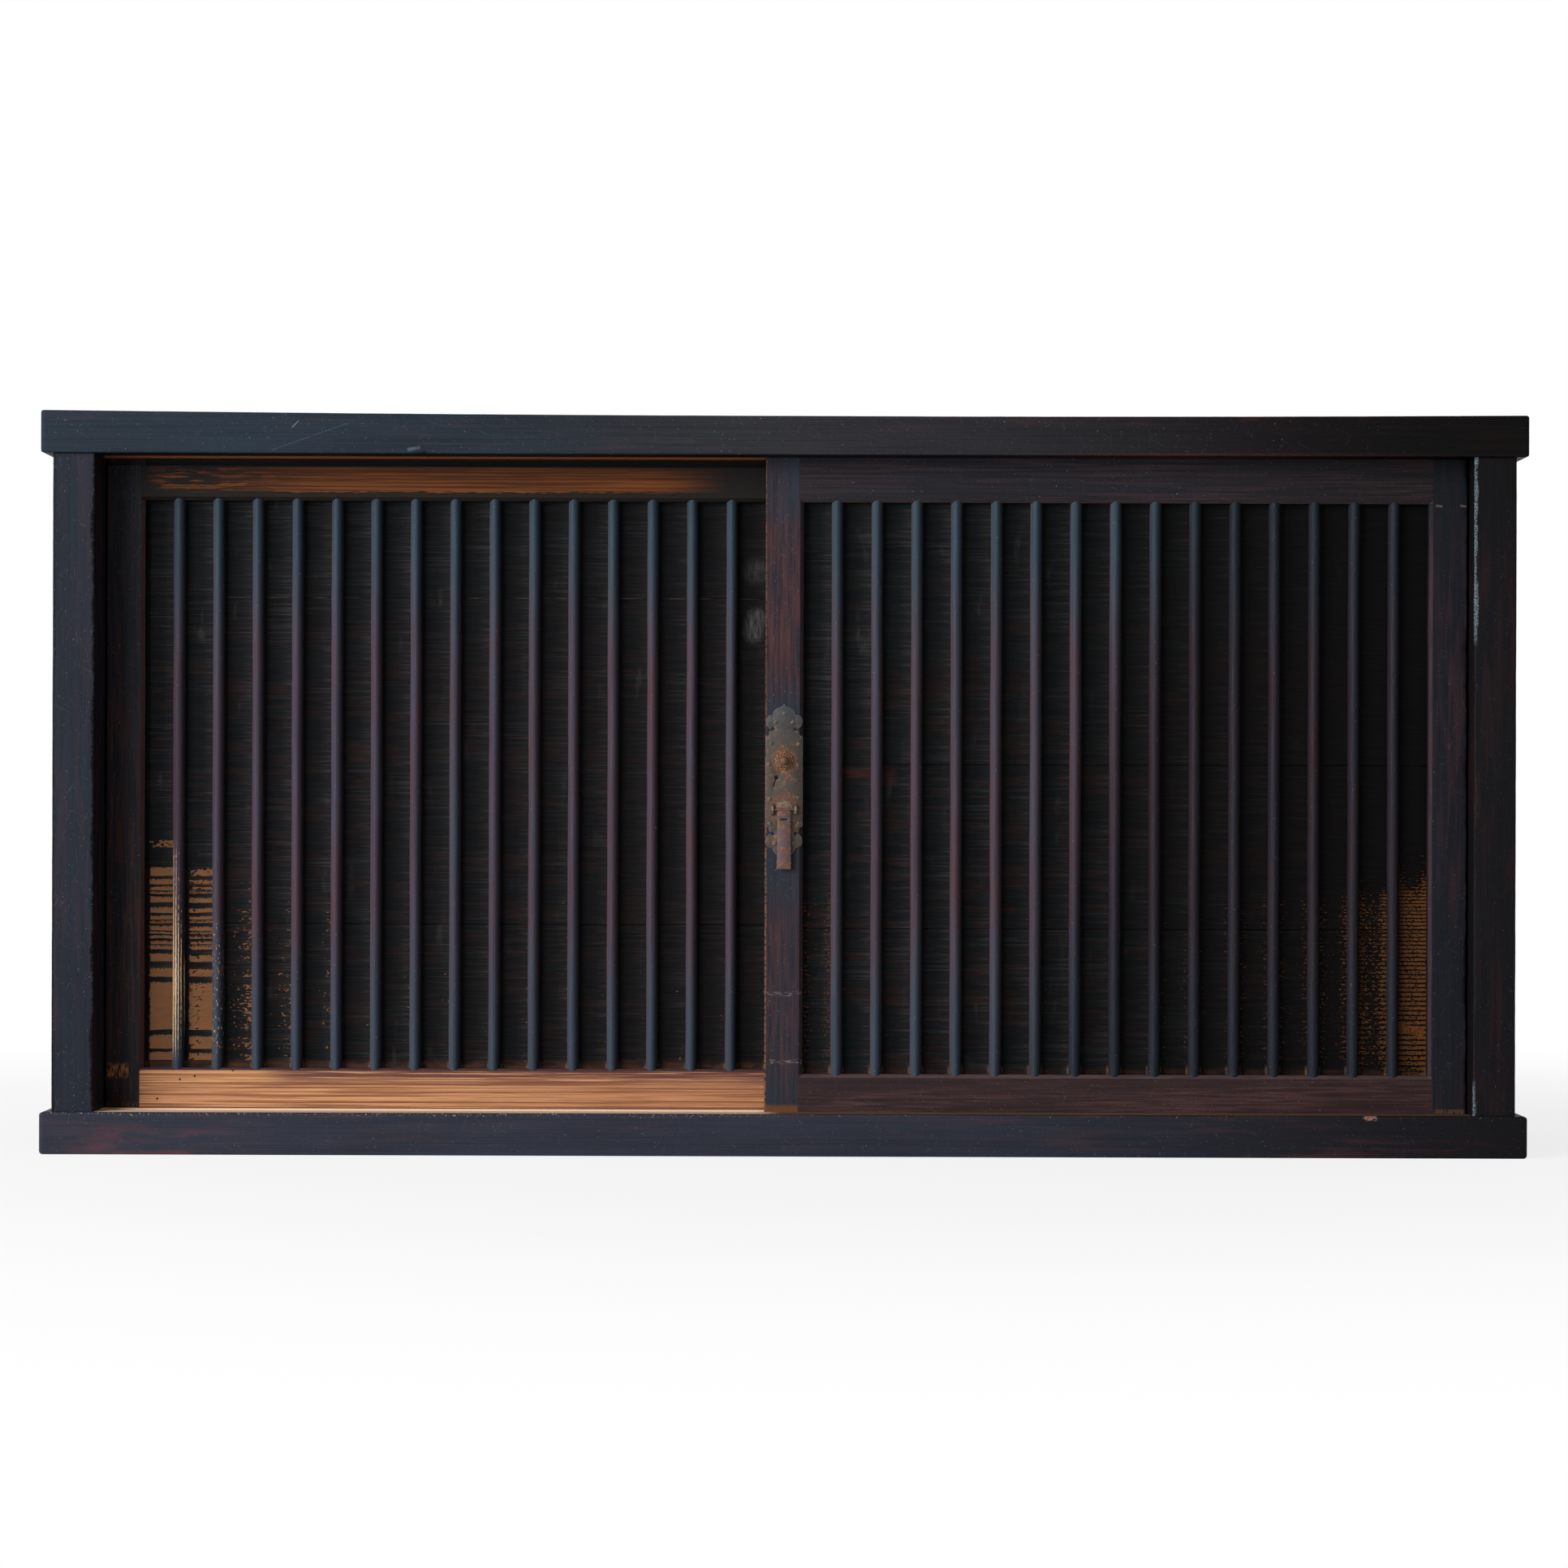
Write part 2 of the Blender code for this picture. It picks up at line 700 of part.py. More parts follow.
def make_sides(finishes, parent):
    """Each side: thin boards in grooves, a rail outside, a shelf cleat and a door stop."""
    for side, word in ((-1, "left"), (1, "right")):
        low, high = side_board_box(side)
        panel = board(f"{word}_side_panel", low, high, finishes["panel"], parent)
        bite = SIDE_THICKNESS / 2
        rail_x = sorted(
            (side * (SIDE_OUTER_X - bite), side * (SIDE_OUTER_X + SIDE_RAIL_THICKNESS))
        )
        rail_middle = SHELF_BOTTOM - CLEAT_SIZE / 2
        rail = boxes(
            f"join_{word}_side_rail",
            [
                (
                    (
                        rail_x[0],
                        POST_FRONT_Y + POST_DEPTH + SEAT_GAP,
                        rail_middle - SIDE_RAIL_HEIGHT / 2,
                    ),
                    (
                        rail_x[1],
                        REAR_POST_FRONT_Y - SEAT_GAP,
                        rail_middle + SIDE_RAIL_HEIGHT / 2,
                    ),
                )
            ],
        )
        combine(panel, rail, "UNION")
        cleat_x = sorted(
            (side * (SIDE_INNER_X - CLEAT_SIZE), side * (SIDE_INNER_X + bite))
        )
        cleat = boxes(
            f"join_{word}_shelf_cleat",
            [
                (
                    (cleat_x[0], SHELF_FRONT_Y, SHELF_BOTTOM - CLEAT_SIZE),
                    (cleat_x[1], REAR_POST_FRONT_Y - SEAT_GAP, SHELF_BOTTOM - SEAT_GAP),
                )
            ],
        )
        combine(panel, cleat, "UNION")
        stop_x = sorted((side * POST_INNER_X, side * (SIDE_INNER_X + bite)))
        stop = boxes(
            f"join_{word}_door_stop",
            [
                (
                    (stop_x[0], POST_FRONT_Y + POST_DEPTH + SEAT_GAP, low.z),
                    (
                        stop_x[1],
                        REAR_DOOR_Y + DOOR_THICKNESS + DOOR_STOP_OVERLAP,
                        high.z,
                    ),
                )
            ],
        )
        combine(panel, stop, "UNION")


def make_back(finishes, parent):
    """Back boards with two battens outside and a shelf cleat inside."""
    low, high = back_board_box()
    panel = board("back_panel", low, high, finishes["panel"], parent)
    bite = BACK_THICKNESS / 2
    place = BATTEN_PLACE_SHARE * POST_INNER_X
    battens = boxes(
        "join_back_battens",
        [
            (
                (side * place - BATTEN_WIDTH / 2, BACK_REAR_Y - bite, low.z),
                (side * place + BATTEN_WIDTH / 2, BACK_REAR_Y + BATTEN_THICKNESS, high.z),
            )
            for side in (-1, 1)
        ],
    )
    combine(panel, battens, "UNION")
    cleat_reach = POST_INNER_X - SEAT_GAP
    cleat = boxes(
        "join_back_cleat",
        [
            (
                (-cleat_reach, BACK_FRONT_Y - CLEAT_SIZE, SHELF_BOTTOM - CLEAT_SIZE),
                (cleat_reach, BACK_FRONT_Y + bite, SHELF_BOTTOM - SEAT_GAP),
            )
        ],
    )
    combine(panel, cleat, "UNION")


def make_shelf(finishes, parent):
    """One shelf on the cleats, notched round the rear posts, with a batten under its front."""
    reach = SIDE_INNER_X - SEAT_GAP
    shelf = board(
        "shelf",
        (-reach, SHELF_FRONT_Y, SHELF_BOTTOM),
        (reach, BACK_FRONT_Y - SEAT_GAP, SHELF_BOTTOM + SHELF_THICKNESS),
        finishes["plain"],
        parent,
    )
    batten_reach = SIDE_INNER_X - CLEAT_SIZE - SEAT_GAP
    batten = boxes(
        "join_shelf_batten",
        [
            (
                (-batten_reach, SHELF_FRONT_Y, SHELF_BOTTOM - CLEAT_SIZE),
                (
                    batten_reach,
                    SHELF_FRONT_Y + SHELF_BATTEN_DEPTH,
                    SHELF_BOTTOM + SHELF_THICKNESS / 2,
                ),
            )
        ],
    )
    combine(shelf, batten, "UNION")
    notches = boxes(
        "cut_shelf_notches", [grown(*post_box(side, False)) for side in (-1, 1)]
    )
    combine(shelf, notches)


class Door:
    """One sliding door's places, all worked out from where its face and left edge are."""

    def __init__(self, word, left_x, face_y, rebate_in_front, lift):
        self.word = word
        self.left = left_x
        self.right = left_x + DOOR_WIDTH
        self.face = face_y
        self.back = face_y + DOOR_THICKNESS
        self.rebate_in_front = rebate_in_front
        self.inner_left = self.left + STILE_WIDTH
        self.inner_right = self.right - STILE_WIDTH
        self.opening_bottom = DOOR_OPENING_BOTTOM + lift
        self.opening_top = DOOR_OPENING_TOP + lift

    def name(self, piece):
        return f"{self.word}_door_{piece}"

    def rail_box(self, top):
        gap = SEAT_GAP
        bottom, upper = (
            (self.opening_top, DOOR_TOP) if top else (DOOR_BOTTOM, self.opening_bottom)
        )
        return (
            Vector((self.inner_left + gap, self.face, bottom)),
            Vector((self.inner_right - gap, self.back, upper)),
        )

    def rail_tenon(self, top, end):
        """World corners of the tenon at a rail's left (end -1) or right (end 1) end."""
        low, high = self.rail_box(top)
        outer = self.opening_top if top else self.opening_bottom
        away = 1 if top else -1
        near = outer + away * PANEL_GROOVE_DEPTH
        z = sorted((near, near + away * RAIL_TENON_HEIGHT))
        front = self.face + RAIL_TENON_SETBACK
        x = (
            (low.x - RAIL_TENON_LENGTH, low.x)
            if end < 0
            else (high.x, high.x + RAIL_TENON_LENGTH)
        )
        return (
            Vector((x[0], front, z[0])),
            Vector((x[1], front + RAIL_TENON_THICKNESS, z[1])),
        )

    def rail_lip(self, top, end):
        """World corners of a rail's front lip, whose end the chamfer mitres to the stile."""
        low, high = self.rail_box(top)
        x = (
            (self.inner_left - RAIL_LIP, low.x + RAIL_LIP)
            if end < 0
            else (high.x - RAIL_LIP, self.inner_right + RAIL_LIP)
        )
        return (
            Vector((x[0], low.y, low.z)),
            Vector((x[1], low.y + RAIL_LIP, high.z)),
        )

    def panel_box(self):
        reach = PANEL_GROOVE_DEPTH - SEAT_GAP
        front = self.face + PANEL_SETBACK
        return (
            Vector((self.inner_left - reach, front, self.opening_bottom - reach)),
            Vector(
                (
                    self.inner_right + reach,
                    front + PANEL_THICKNESS,
                    self.opening_top + reach,
                )
            ),
        )

    def bar_centres(self):
        """Bars stand with equal gaps between them and beside the stiles."""
        inner = self.inner_right - self.inner_left
        gap = (inner - BAR_COUNT * BAR_WIDTH) / (BAR_COUNT + 1)
        first = self.inner_left + gap + BAR_WIDTH / 2
        return [first + i * (gap + BAR_WIDTH) for i in range(BAR_COUNT)]

    def bar_box(self, centre):
        front = self.face + BAR_SETBACK
        return (
            Vector(
                (centre - BAR_WIDTH / 2, front, self.opening_bottom - BAR_TENON_LENGTH)
            ),
            Vector(
                (
                    centre + BAR_WIDTH / 2,
                    front + BAR_DEPTH,
                    self.opening_top + BAR_TENON_LENGTH,
                )
            ),
        )

    def cutters(self):
        """The shapes that cut all four frame members of this door."""
        if self.rebate_in_front:
            y = (self.face - CUT_OVERRUN, self.face + TONGUE_REBATE)
        else:
            y = (self.back - TONGUE_REBATE, self.back + CUT_OVERRUN)
        x = (self.left - CUT_OVERRUN, self.right + CUT_OVERRUN)
        shoulder = TOP_UNDERSIDE - LIFT_GAP
        foot = BASE_HEIGHT + TRACK_CLEARANCE
        rebates = boxes(
            f"cut_{self.word}_door_rebates",
            [
                ((x[0], y[0], shoulder), (x[1], y[1], DOOR_TOP + CUT_OVERRUN)),
                ((x[0], y[0], DOOR_BOTTOM - CUT_OVERRUN), (x[1], y[1], foot)),
            ],
        )
        groove = boxes(f"cut_{self.word}_panel_groove", [grown(*self.panel_box())])
        bm = bmesh.new()
        for centre in self.bar_centres():
            low, high = grown(*self.bar_box(centre))
            middle = (low + high) / 2
            outline = [
                (middle.x + x, middle.y + y) for x, y in bar_outline((high - low) / 2)
            ]
            add_prism(bm, outline, 2, low.z, high.z)
        mortises = helper(f"cut_{self.word}_bar_mortises", bm)
        return rebates, groove, mortises, opening_chamfer(self)


def opening_chamfer(door):
    """A truncated pyramid that chamfers the four inner edges and mitres their corners."""
    spread = FRAME_CHAMFER + CUT_OVERRUN
    bm = bmesh.new()
    corners = add_box(
        bm,
        (door.inner_left, door.face - CUT_OVERRUN, door.opening_bottom),
        (door.inner_right, door.face + FRAME_CHAMFER, door.opening_top),
    )
    middle_x = (door.inner_left + door.inner_right) / 2
    middle_z = (door.opening_bottom + door.opening_top) / 2
    for vert in corners:
        if vert.co.y < door.face:
            vert.co.x += math.copysign(spread, vert.co.x - middle_x)
            vert.co.z += math.copysign(spread, vert.co.z - middle_z)
    return helper(f"cut_{door.word}_chamfer", bm)


def bar_outline(half):
    """Across a bar: flat at the back, short straight sides, half-round in front."""
    straight = half.y - 2 * half.y * BAR_FLAT_SHARE
    outline = [(half.x, half.y), (-half.x, half.y)]
    for i in range(BAR_ARC_STEPS + 1):
        turn = math.pi * i / BAR_ARC_STEPS
        outline.append(
            (
                -half.x * math.cos(turn),
                straight - (straight + half.y) * math.sin(turn),
            )
        )
    return outline


def make_bar(name, door, centre, finishes, parent):
    low, high = door.bar_box(centre)
    half = (high - low) / 2
    bm = bmesh.new()
    add_prism(bm, bar_outline(half), 2, -half.z, half.z)
    bar = object_of(name, bm, (low + high) / 2, finishes["bar"], parent)
    shade_round(bar)


def make_door(door, joint_shares, finishes, parent):
    """Two stiles, two rails tenoned into them, a board panel and the lattice bars."""
    rebates, groove, mortises, chamfer = door.cutters()
    stiles = {}
    for end, word in ((-1, "left"), (1, "right")):
        x = (
            (door.left, door.inner_left) if end < 0 else (door.inner_right, door.right)
        )
        stile = board(
            door.name(f"{word}_stile"),
            (x[0], door.face, DOOR_BOTTOM),
            (x[1], door.back, DOOR_TOP),
            finishes["frame"],
            parent,
        )
        tenons = boxes(
            f"cut_{door.word}_{word}_stile_mortises",
            [grown(*door.rail_tenon(top, end)) for top in (True, False)],
        )
        lips = boxes(
            f"cut_{door.word}_{word}_stile_lips",
            [grown(*door.rail_lip(top, end)) for top in (True, False)],
        )
        for cutter in (rebates, groove, chamfer, tenons, lips):
            combine(stile, cutter)
        stiles[word] = stile
    for top, word in ((True, "top"), (False, "bottom")):
        rail = make_rail(door, top, word, finishes, parent)
        add_tenon(rail, 0, -1, *door.rail_tenon(top, -1))
        add_tenon(rail, 0, 1, *door.rail_tenon(top, 1))
        for cutter in (rebates, groove, chamfer, mortises):
            combine(rail, cutter)
    make_door_panel(door, joint_shares, finishes, parent)
    for i, centre in enumerate(door.bar_centres()):
        make_bar(door.name(f"bar_{i + 1:02d}"), door, centre, finishes, parent)
    return stiles


def make_rail(door, top, word, finishes, parent):
    """A rail whose front face runs on past its shoulders as a lip at each end."""
    low, high = door.rail_box(top)
    left_lip, _ = door.rail_lip(top, -1)
    _, right_lip = door.rail_lip(top, 1)
    outline = [
        (left_lip.x, low.y),
        (right_lip.x, low.y),
        (right_lip.x, right_lip.y),
        (high.x, right_lip.y),
        (high.x, high.y),
        (low.x, high.y),
        (low.x, right_lip.y),
        (left_lip.x, right_lip.y),
    ]
    place = (low + high) / 2
    bm = bmesh.new()
    local = [(x - place.x, y - place.y) for x, y in outline]
    add_prism(bm, local, 2, low.z - place.z, high.z - place.z)
    return object_of(door.name(f"{word}_rail"), bm, place, finishes["frame"], parent)


def make_door_panel(door, joint_shares, finishes, parent):
    """Three boards edge to edge, with the joints between them open a little."""
    low, high = door.panel_box()
    panel = board(door.name("panel"), low, high, finishes["panel"], parent)
    height = door.opening_top - door.opening_bottom
    corners = []
    for share in joint_shares:
        z = door.opening_bottom + share * height
        corners.append(
            (
                (low.x - CUT_OVERRUN, low.y - CUT_OVERRUN, z - BOARD_JOINT_WIDTH / 2),
                (
                    high.x + CUT_OVERRUN,
                    low.y + BOARD_JOINT_DEPTH,
                    z + BOARD_JOINT_WIDTH / 2,
                ),
            )
        )
    combine(panel, boxes(f"cut_{door.word}_board_joints", corners))


def plate_outline():
    """The lock plate's outline about its middle, the same when turned by half a turn."""
    quarter = [
        (
            across * PLATE_WIDTH / 2,
            PLATE_HEIGHT / 2 - PLATE_CREST_HEIGHT * (1 - up),
        )
        for across, up in CREST_SHARES
    ]
    upper = quarter + [(-x, z) for x, z in reversed(quarter[:-1])]
    return upper + [(-x, -z) for x, z in upper]


def on_plate(across_share, height_share):
    """A place on the plate, across and up from its middle."""
    return (
        across_share * PLATE_WIDTH / 2,
        PLATE_CENTRE_HEIGHT + height_share * PLATE_HEIGHT / 2,
    )


def add_keyhole(bm, start, end):
    """The keyhole's round part alone."""
    x, z = on_plate(KEYHOLE_ACROSS_SHARE, KEYHOLE_HEIGHT_SHARE)
    add_prism(bm, circle(x, z, KEYHOLE_RADIUS), 1, start, end)


def keyhole_slot(name, start, end):
    """The keyhole's slot alone, which leans outwards as it goes down."""
    x, z = on_plate(KEYHOLE_ACROSS_SHARE, KEYHOLE_HEIGHT_SHARE)
    along = Vector((-math.sin(KEYHOLE_SLOT_LEAN), -math.cos(KEYHOLE_SLOT_LEAN)))
    aside = Vector((along.y, -along.x)) * KEYHOLE_SLOT_WIDTH / 2
    top = Vector((x, z))
    foot = top + along * KEYHOLE_SLOT_LENGTH
    outline = [tuple(p) for p in (top - aside, top + aside, foot + aside, foot - aside)]
    bm = bmesh.new()
    add_prism(bm, outline, 1, start, end)
    return helper(name, bm)


def make_lock_plate(finishes, parent):
    """The cut iron plate, its nail heads and the two ears that hold the hasp's pin."""
    place = Vector((0, PLATE_BACK_Y, PLATE_CENTRE_HEIGHT))
    bite = PLATE_THICKNESS / 2
    bm = bmesh.new()
    add_prism(bm, plate_outline(), 1, 0, -PLATE_THICKNESS)
    plate = object_of("lock_plate", bm, place, finishes["iron"], parent)

    bm = bmesh.new()
    for across, up in NAIL_SHARES:
        x, z = on_plate(across, up)
        profile = [(NAIL_HEAD_RADIUS, -bite, 0)]
        for radius, height in NAIL_PROFILE_SHARES:
            profile.append((radius * NAIL_HEAD_RADIUS, height * NAIL_HEAD_HEIGHT, 0))
        add_revolved(bm, (x, PLATE_FRONT_Y, z), (0, -1, 0), profile, SMALL_ROUND_STEPS)
    combine(plate, helper("join_nail_heads", bm), "UNION")

    bm = bmesh.new()
    seat = circle(PIN_AXIS.x, PIN_AXIS.z, HINGE_SEAT_RADIUS)
    add_prism(bm, seat, 1, PLATE_FRONT_Y + bite, PLATE_FRONT_Y - HINGE_SEAT_THICKNESS)
    combine(plate, helper("join_hinge_seat", bm), "UNION")

    bm = bmesh.new()
    for side in (-1, 1):
        inner = side * EAR_SPACING / 2
        add_prism(bm, ear_outline(bite), 0, inner, inner + side * EAR_THICKNESS)
    combine(plate, helper("join_hinge_ears", bm), "UNION")

    bm = bmesh.new()
    for side in (-1, 1):
        for end in (-1, 1):
            x = side * EYE_ACROSS_SHARE * PLATE_WIDTH / 2
            z = PLATE_HEIGHT / 2 - PLATE_CREST_HEIGHT * (1 - EYE_HEIGHT_SHARE)
            eye = circle(x, PLATE_CENTRE_HEIGHT + end * z, PLATE_EYE_RADIUS)
            add_prism(bm, eye, 1, PLATE_BACK_Y + bite, PLATE_FRONT_Y - bite)
    combine(plate, helper("cut_plate_eyes", bm))

    bm = bmesh.new()
    add_keyhole(bm, PLATE_BACK_Y + bite, PLATE_FRONT_Y - bite)
    combine(plate, helper("cut_plate_keyhole", bm))
    combine(plate, keyhole_slot("cut_plate_slot", PLATE_BACK_Y + bite, PLATE_FRONT_Y - bite))

    bm = bmesh.new()
    reach = EAR_SPACING / 2 + EAR_THICKNESS + CUT_OVERRUN
    bore = circle(PIN_AXIS.y, PIN_AXIS.z, PIN_RADIUS + SEAT_GAP, SMALL_ROUND_STEPS)
    add_prism(bm, bore, 0, -reach, reach)
    combine(plate, helper("cut_ear_bores", bm))


def ear_outline(bite):
    """An ear seen from the side: a half ellipse that stands on the plate."""
    outline = [
        (PLATE_FRONT_Y + bite, PIN_AXIS.z + EAR_HEIGHT / 2),
        (PLATE_FRONT_Y + bite, PIN_AXIS.z - EAR_HEIGHT / 2),
    ]
    for i in range(SMALL_ROUND_STEPS + 1):
        turn = math.pi * i / SMALL_ROUND_STEPS
        outline.append(
            (
                PLATE_FRONT_Y - EAR_PROJECTION * math.sin(turn),
                PIN_AXIS.z - EAR_HEIGHT / 2 * math.cos(turn),
            )
        )
    return outline


def make_knob(finishes, parent):
    """The fixed pull: a petalled rosette with a ball on it."""
    x, z = on_plate(0, KNOB_HEIGHT_SHARE)
    profile = [
        (radius * KNOB_ROSETTE_RADIUS, height * KNOB_PROJECTION, petal)
        for radius, height, petal in KNOB_PROFILE_SHARES
    ]
    bm = bmesh.new()
    add_revolved(bm, (0, 0, 0), (0, -1, 0), profile, KNOB_PETALS * KNOB_PETAL_STEPS)
    place = Vector((x, PLATE_FRONT_Y - SEAT_GAP, z))
    shade_round(object_of("pull_knob", bm, place, finishes["iron"], parent))


def make_hasp(finishes, parent):
    """The hanging tongue, its origin on the pin's axis, and the pin that it turns on."""
    half = EAR_SPACING / 2 - SEAT_GAP
    bm = bmesh.new()
    add_prism(bm, circle(0, 0, HASP_BARREL_RADIUS), 0, -half, half)
    hasp = object_of("hasp", bm, PIN_AXIS, finishes["iron"], parent)

    outline = [(HASP_TOP_WIDTH / 2, 0)]
    for i in range(SMALL_ROUND_STEPS + 1):
        turn = math.pi * i / SMALL_ROUND_STEPS
        outline.append(
            (
                HASP_END_WIDTH / 2 * math.cos(turn),
                -HASP_LENGTH + HASP_END_ROUND * (1 - math.sin(turn)),
            )
        )
    outline.append((-HASP_TOP_WIDTH / 2, 0))
    outline = [(PIN_AXIS.x + x, PIN_AXIS.z + z) for x, z in outline]
    thick = HASP_THICKNESS / 2
    bm = bmesh.new()
    add_prism(bm, outline, 1, PIN_AXIS.y - thick, PIN_AXIS.y + thick)
    combine(hasp, helper("join_hasp_tongue", bm), "UNION")

    slot_z = PIN_AXIS.z - HASP_SLOT_DROP
    slot = boxes(
        "cut_hasp_slot",
        [
            (
                (
                    -HASP_SLOT_WIDTH / 2,
                    PIN_AXIS.y - HASP_THICKNESS,
                    slot_z - HASP_SLOT_HEIGHT / 2,
                ),
                (
                    HASP_SLOT_WIDTH / 2,
                    PIN_AXIS.y + HASP_THICKNESS,
                    slot_z + HASP_SLOT_HEIGHT / 2,
                ),
            )
        ],
    )
    combine(hasp, slot)

    bm = bmesh.new()
    bore = circle(PIN_AXIS.y, PIN_AXIS.z, PIN_RADIUS + SEAT_GAP, SMALL_ROUND_STEPS)
    add_prism(bm, bore, 0, -half - CUT_OVERRUN, half + CUT_OVERRUN)
    combine(hasp, helper("cut_hasp_bore", bm))

    reach = EAR_SPACING / 2 + EAR_THICKNESS + SEAT_GAP
    profile = (
        (PIN_HEAD_RADIUS, -reach - PIN_HEAD_LENGTH, 0),
        (PIN_HEAD_RADIUS, -reach, 0),
        (PIN_RADIUS, -reach, 0),
        (PIN_RADIUS, reach, 0),
        (PIN_HEAD_RADIUS, reach, 0),
        (PIN_HEAD_RADIUS, reach + PIN_HEAD_LENGTH, 0),
    )
    bm = bmesh.new()
    add_revolved(bm, (0, 0, 0), (1, 0, 0), profile, SMALL_ROUND_STEPS)
    shade_round(object_of("hasp_pin", bm, PIN_AXIS, finishes["iron"], parent))


def lock_case_box():
    z = PLATE_CENTRE_HEIGHT + LOCK_CASE_HEIGHT_SHARE * PLATE_HEIGHT / 2
    return (
        Vector((-LOCK_CASE_WIDTH / 2, FRONT_DOOR_Y, z - LOCK_CASE_HEIGHT / 2)),
        Vector(
            (
                LOCK_CASE_WIDTH / 2,
                FRONT_DOOR_Y + LOCK_CASE_DEPTH,
                z + LOCK_CASE_HEIGHT / 2,
            )
        ),
    )


def bolt_box():
    """The drawn bolt, from inside the case to just inside the stile's rear face."""
    z = PLATE_CENTRE_HEIGHT + BOLT_HEIGHT_SHARE * PLATE_HEIGHT / 2
    return (
        Vector(
            (
                -BOLT_WIDTH / 2,
                FRONT_DOOR_Y + LOCK_CASE_DEPTH / 2,
                z - BOLT_HEIGHT / 2,
            )
        ),
        Vector(
            (
                BOLT_WIDTH / 2,
                FRONT_DOOR_Y + DOOR_THICKNESS - BOLT_SETBACK,
                z + BOLT_HEIGHT / 2,
            )
        ),
    )


def make_lock_case(front_stile, rear_stile, finishes, parent):
    """The case let into the front door's stile, and the bolt's socket in the rear door's."""
    low, high = lock_case_box()
    case = board("lock_case", low, high, finishes["iron"], parent)
    combine(case, boxes("join_bolt", [bolt_box()]), "UNION")
    bm = bmesh.new()
    add_keyhole(bm, low.y - CUT_OVERRUN, low.y + KEYHOLE_DEPTH)
    combine(case, helper("cut_case_keyhole", bm))
    combine(
        case,
        keyhole_slot("cut_case_slot", low.y - CUT_OVERRUN, low.y + KEYHOLE_DEPTH),
    )
    x, z = on_plate(KEYHOLE_ACROSS_SHARE, KEYHOLE_HEIGHT_SHARE)
    bm = bmesh.new()
    key_pin = circle(x, z, KEY_PIN_RADIUS, SMALL_ROUND_STEPS)
    add_prism(bm, key_pin, 1, low.y, low.y + 2 * KEYHOLE_DEPTH)
    combine(case, helper("join_key_pin", bm), "UNION")

    pocket_low, pocket_high = grown(low, high)
    pocket_low.y -= CUT_OVERRUN
    combine(front_stile, boxes("cut_lock_pocket", [(pocket_low, pocket_high)]))
    hole_low, hole_high = grown(*bolt_box())
    hole_high.y += CUT_OVERRUN
    combine(front_stile, boxes("cut_bolt_hole", [(hole_low, hole_high)]))
    hole_low.y = REAR_DOOR_Y - CUT_OVERRUN
    hole_high.y = REAR_DOOR_Y + BOLT_SOCKET_DEPTH
    combine(rear_stile, boxes("cut_bolt_socket", [(hole_low, hole_high)]))


def build():
    clear_scene()
    finishes = make_finishes()
    carcass = empty_at("carcass", (0, 0, 0))
    make_top(finishes, carcass)
    make_base(finishes, carcass)
    make_posts(finishes, carcass)
    make_sides(finishes, carcass)
    make_back(finishes, carcass)
    make_shelf(finishes, carcass)

    edge = POST_INNER_X - DOOR_END_GAP
    left = Door("left", -edge, REAR_DOOR_Y, True, REAR_OPENING_LIFT)
    right = Door("right", edge - DOOR_WIDTH, FRONT_DOOR_Y, False, 0)
    left_group = empty_at("left_door", (left.left, left.face, DOOR_BOTTOM), carcass)
    right_group = empty_at("right_door", (right.left, right.face, DOOR_BOTTOM), carcass)
    rear_stiles = make_door(left, LEFT_JOINT_SHARES, finishes, left_group)
    front_stiles = make_door(right, RIGHT_JOINT_SHARES, finishes, right_group)

    make_lock_plate(finishes, right_group)
    make_knob(finishes, right_group)
    make_hasp(finishes, right_group)
    make_lock_case(front_stiles["left"], rear_stiles["right"], finishes, right_group)
    print("each door can travel", round(DOOR_TRAVEL, 4), "m")


build()
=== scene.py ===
import math

import bmesh
import bpy
import numpy as np
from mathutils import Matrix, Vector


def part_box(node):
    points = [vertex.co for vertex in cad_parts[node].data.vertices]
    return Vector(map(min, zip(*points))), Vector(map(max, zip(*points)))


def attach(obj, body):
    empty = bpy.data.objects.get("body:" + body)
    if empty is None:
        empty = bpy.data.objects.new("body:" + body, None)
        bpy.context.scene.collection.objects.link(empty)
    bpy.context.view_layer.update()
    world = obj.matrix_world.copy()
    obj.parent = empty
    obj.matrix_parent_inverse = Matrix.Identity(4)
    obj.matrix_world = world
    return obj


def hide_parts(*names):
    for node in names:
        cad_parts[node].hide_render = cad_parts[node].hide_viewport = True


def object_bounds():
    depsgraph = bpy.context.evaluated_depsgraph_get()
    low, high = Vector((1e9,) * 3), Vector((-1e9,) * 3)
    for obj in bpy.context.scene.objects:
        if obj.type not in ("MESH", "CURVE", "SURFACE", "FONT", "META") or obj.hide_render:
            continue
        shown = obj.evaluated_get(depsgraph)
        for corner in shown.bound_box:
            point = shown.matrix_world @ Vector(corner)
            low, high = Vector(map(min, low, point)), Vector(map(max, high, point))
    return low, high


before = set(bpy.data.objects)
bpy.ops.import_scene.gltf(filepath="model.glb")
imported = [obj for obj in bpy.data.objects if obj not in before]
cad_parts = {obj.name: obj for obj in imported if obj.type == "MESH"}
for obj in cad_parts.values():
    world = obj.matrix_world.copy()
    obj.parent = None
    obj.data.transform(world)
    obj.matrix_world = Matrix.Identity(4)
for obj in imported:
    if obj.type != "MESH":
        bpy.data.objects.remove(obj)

cadBounds = [list(corner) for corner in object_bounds()]
print("frame loaded:", len(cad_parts), "pieces")

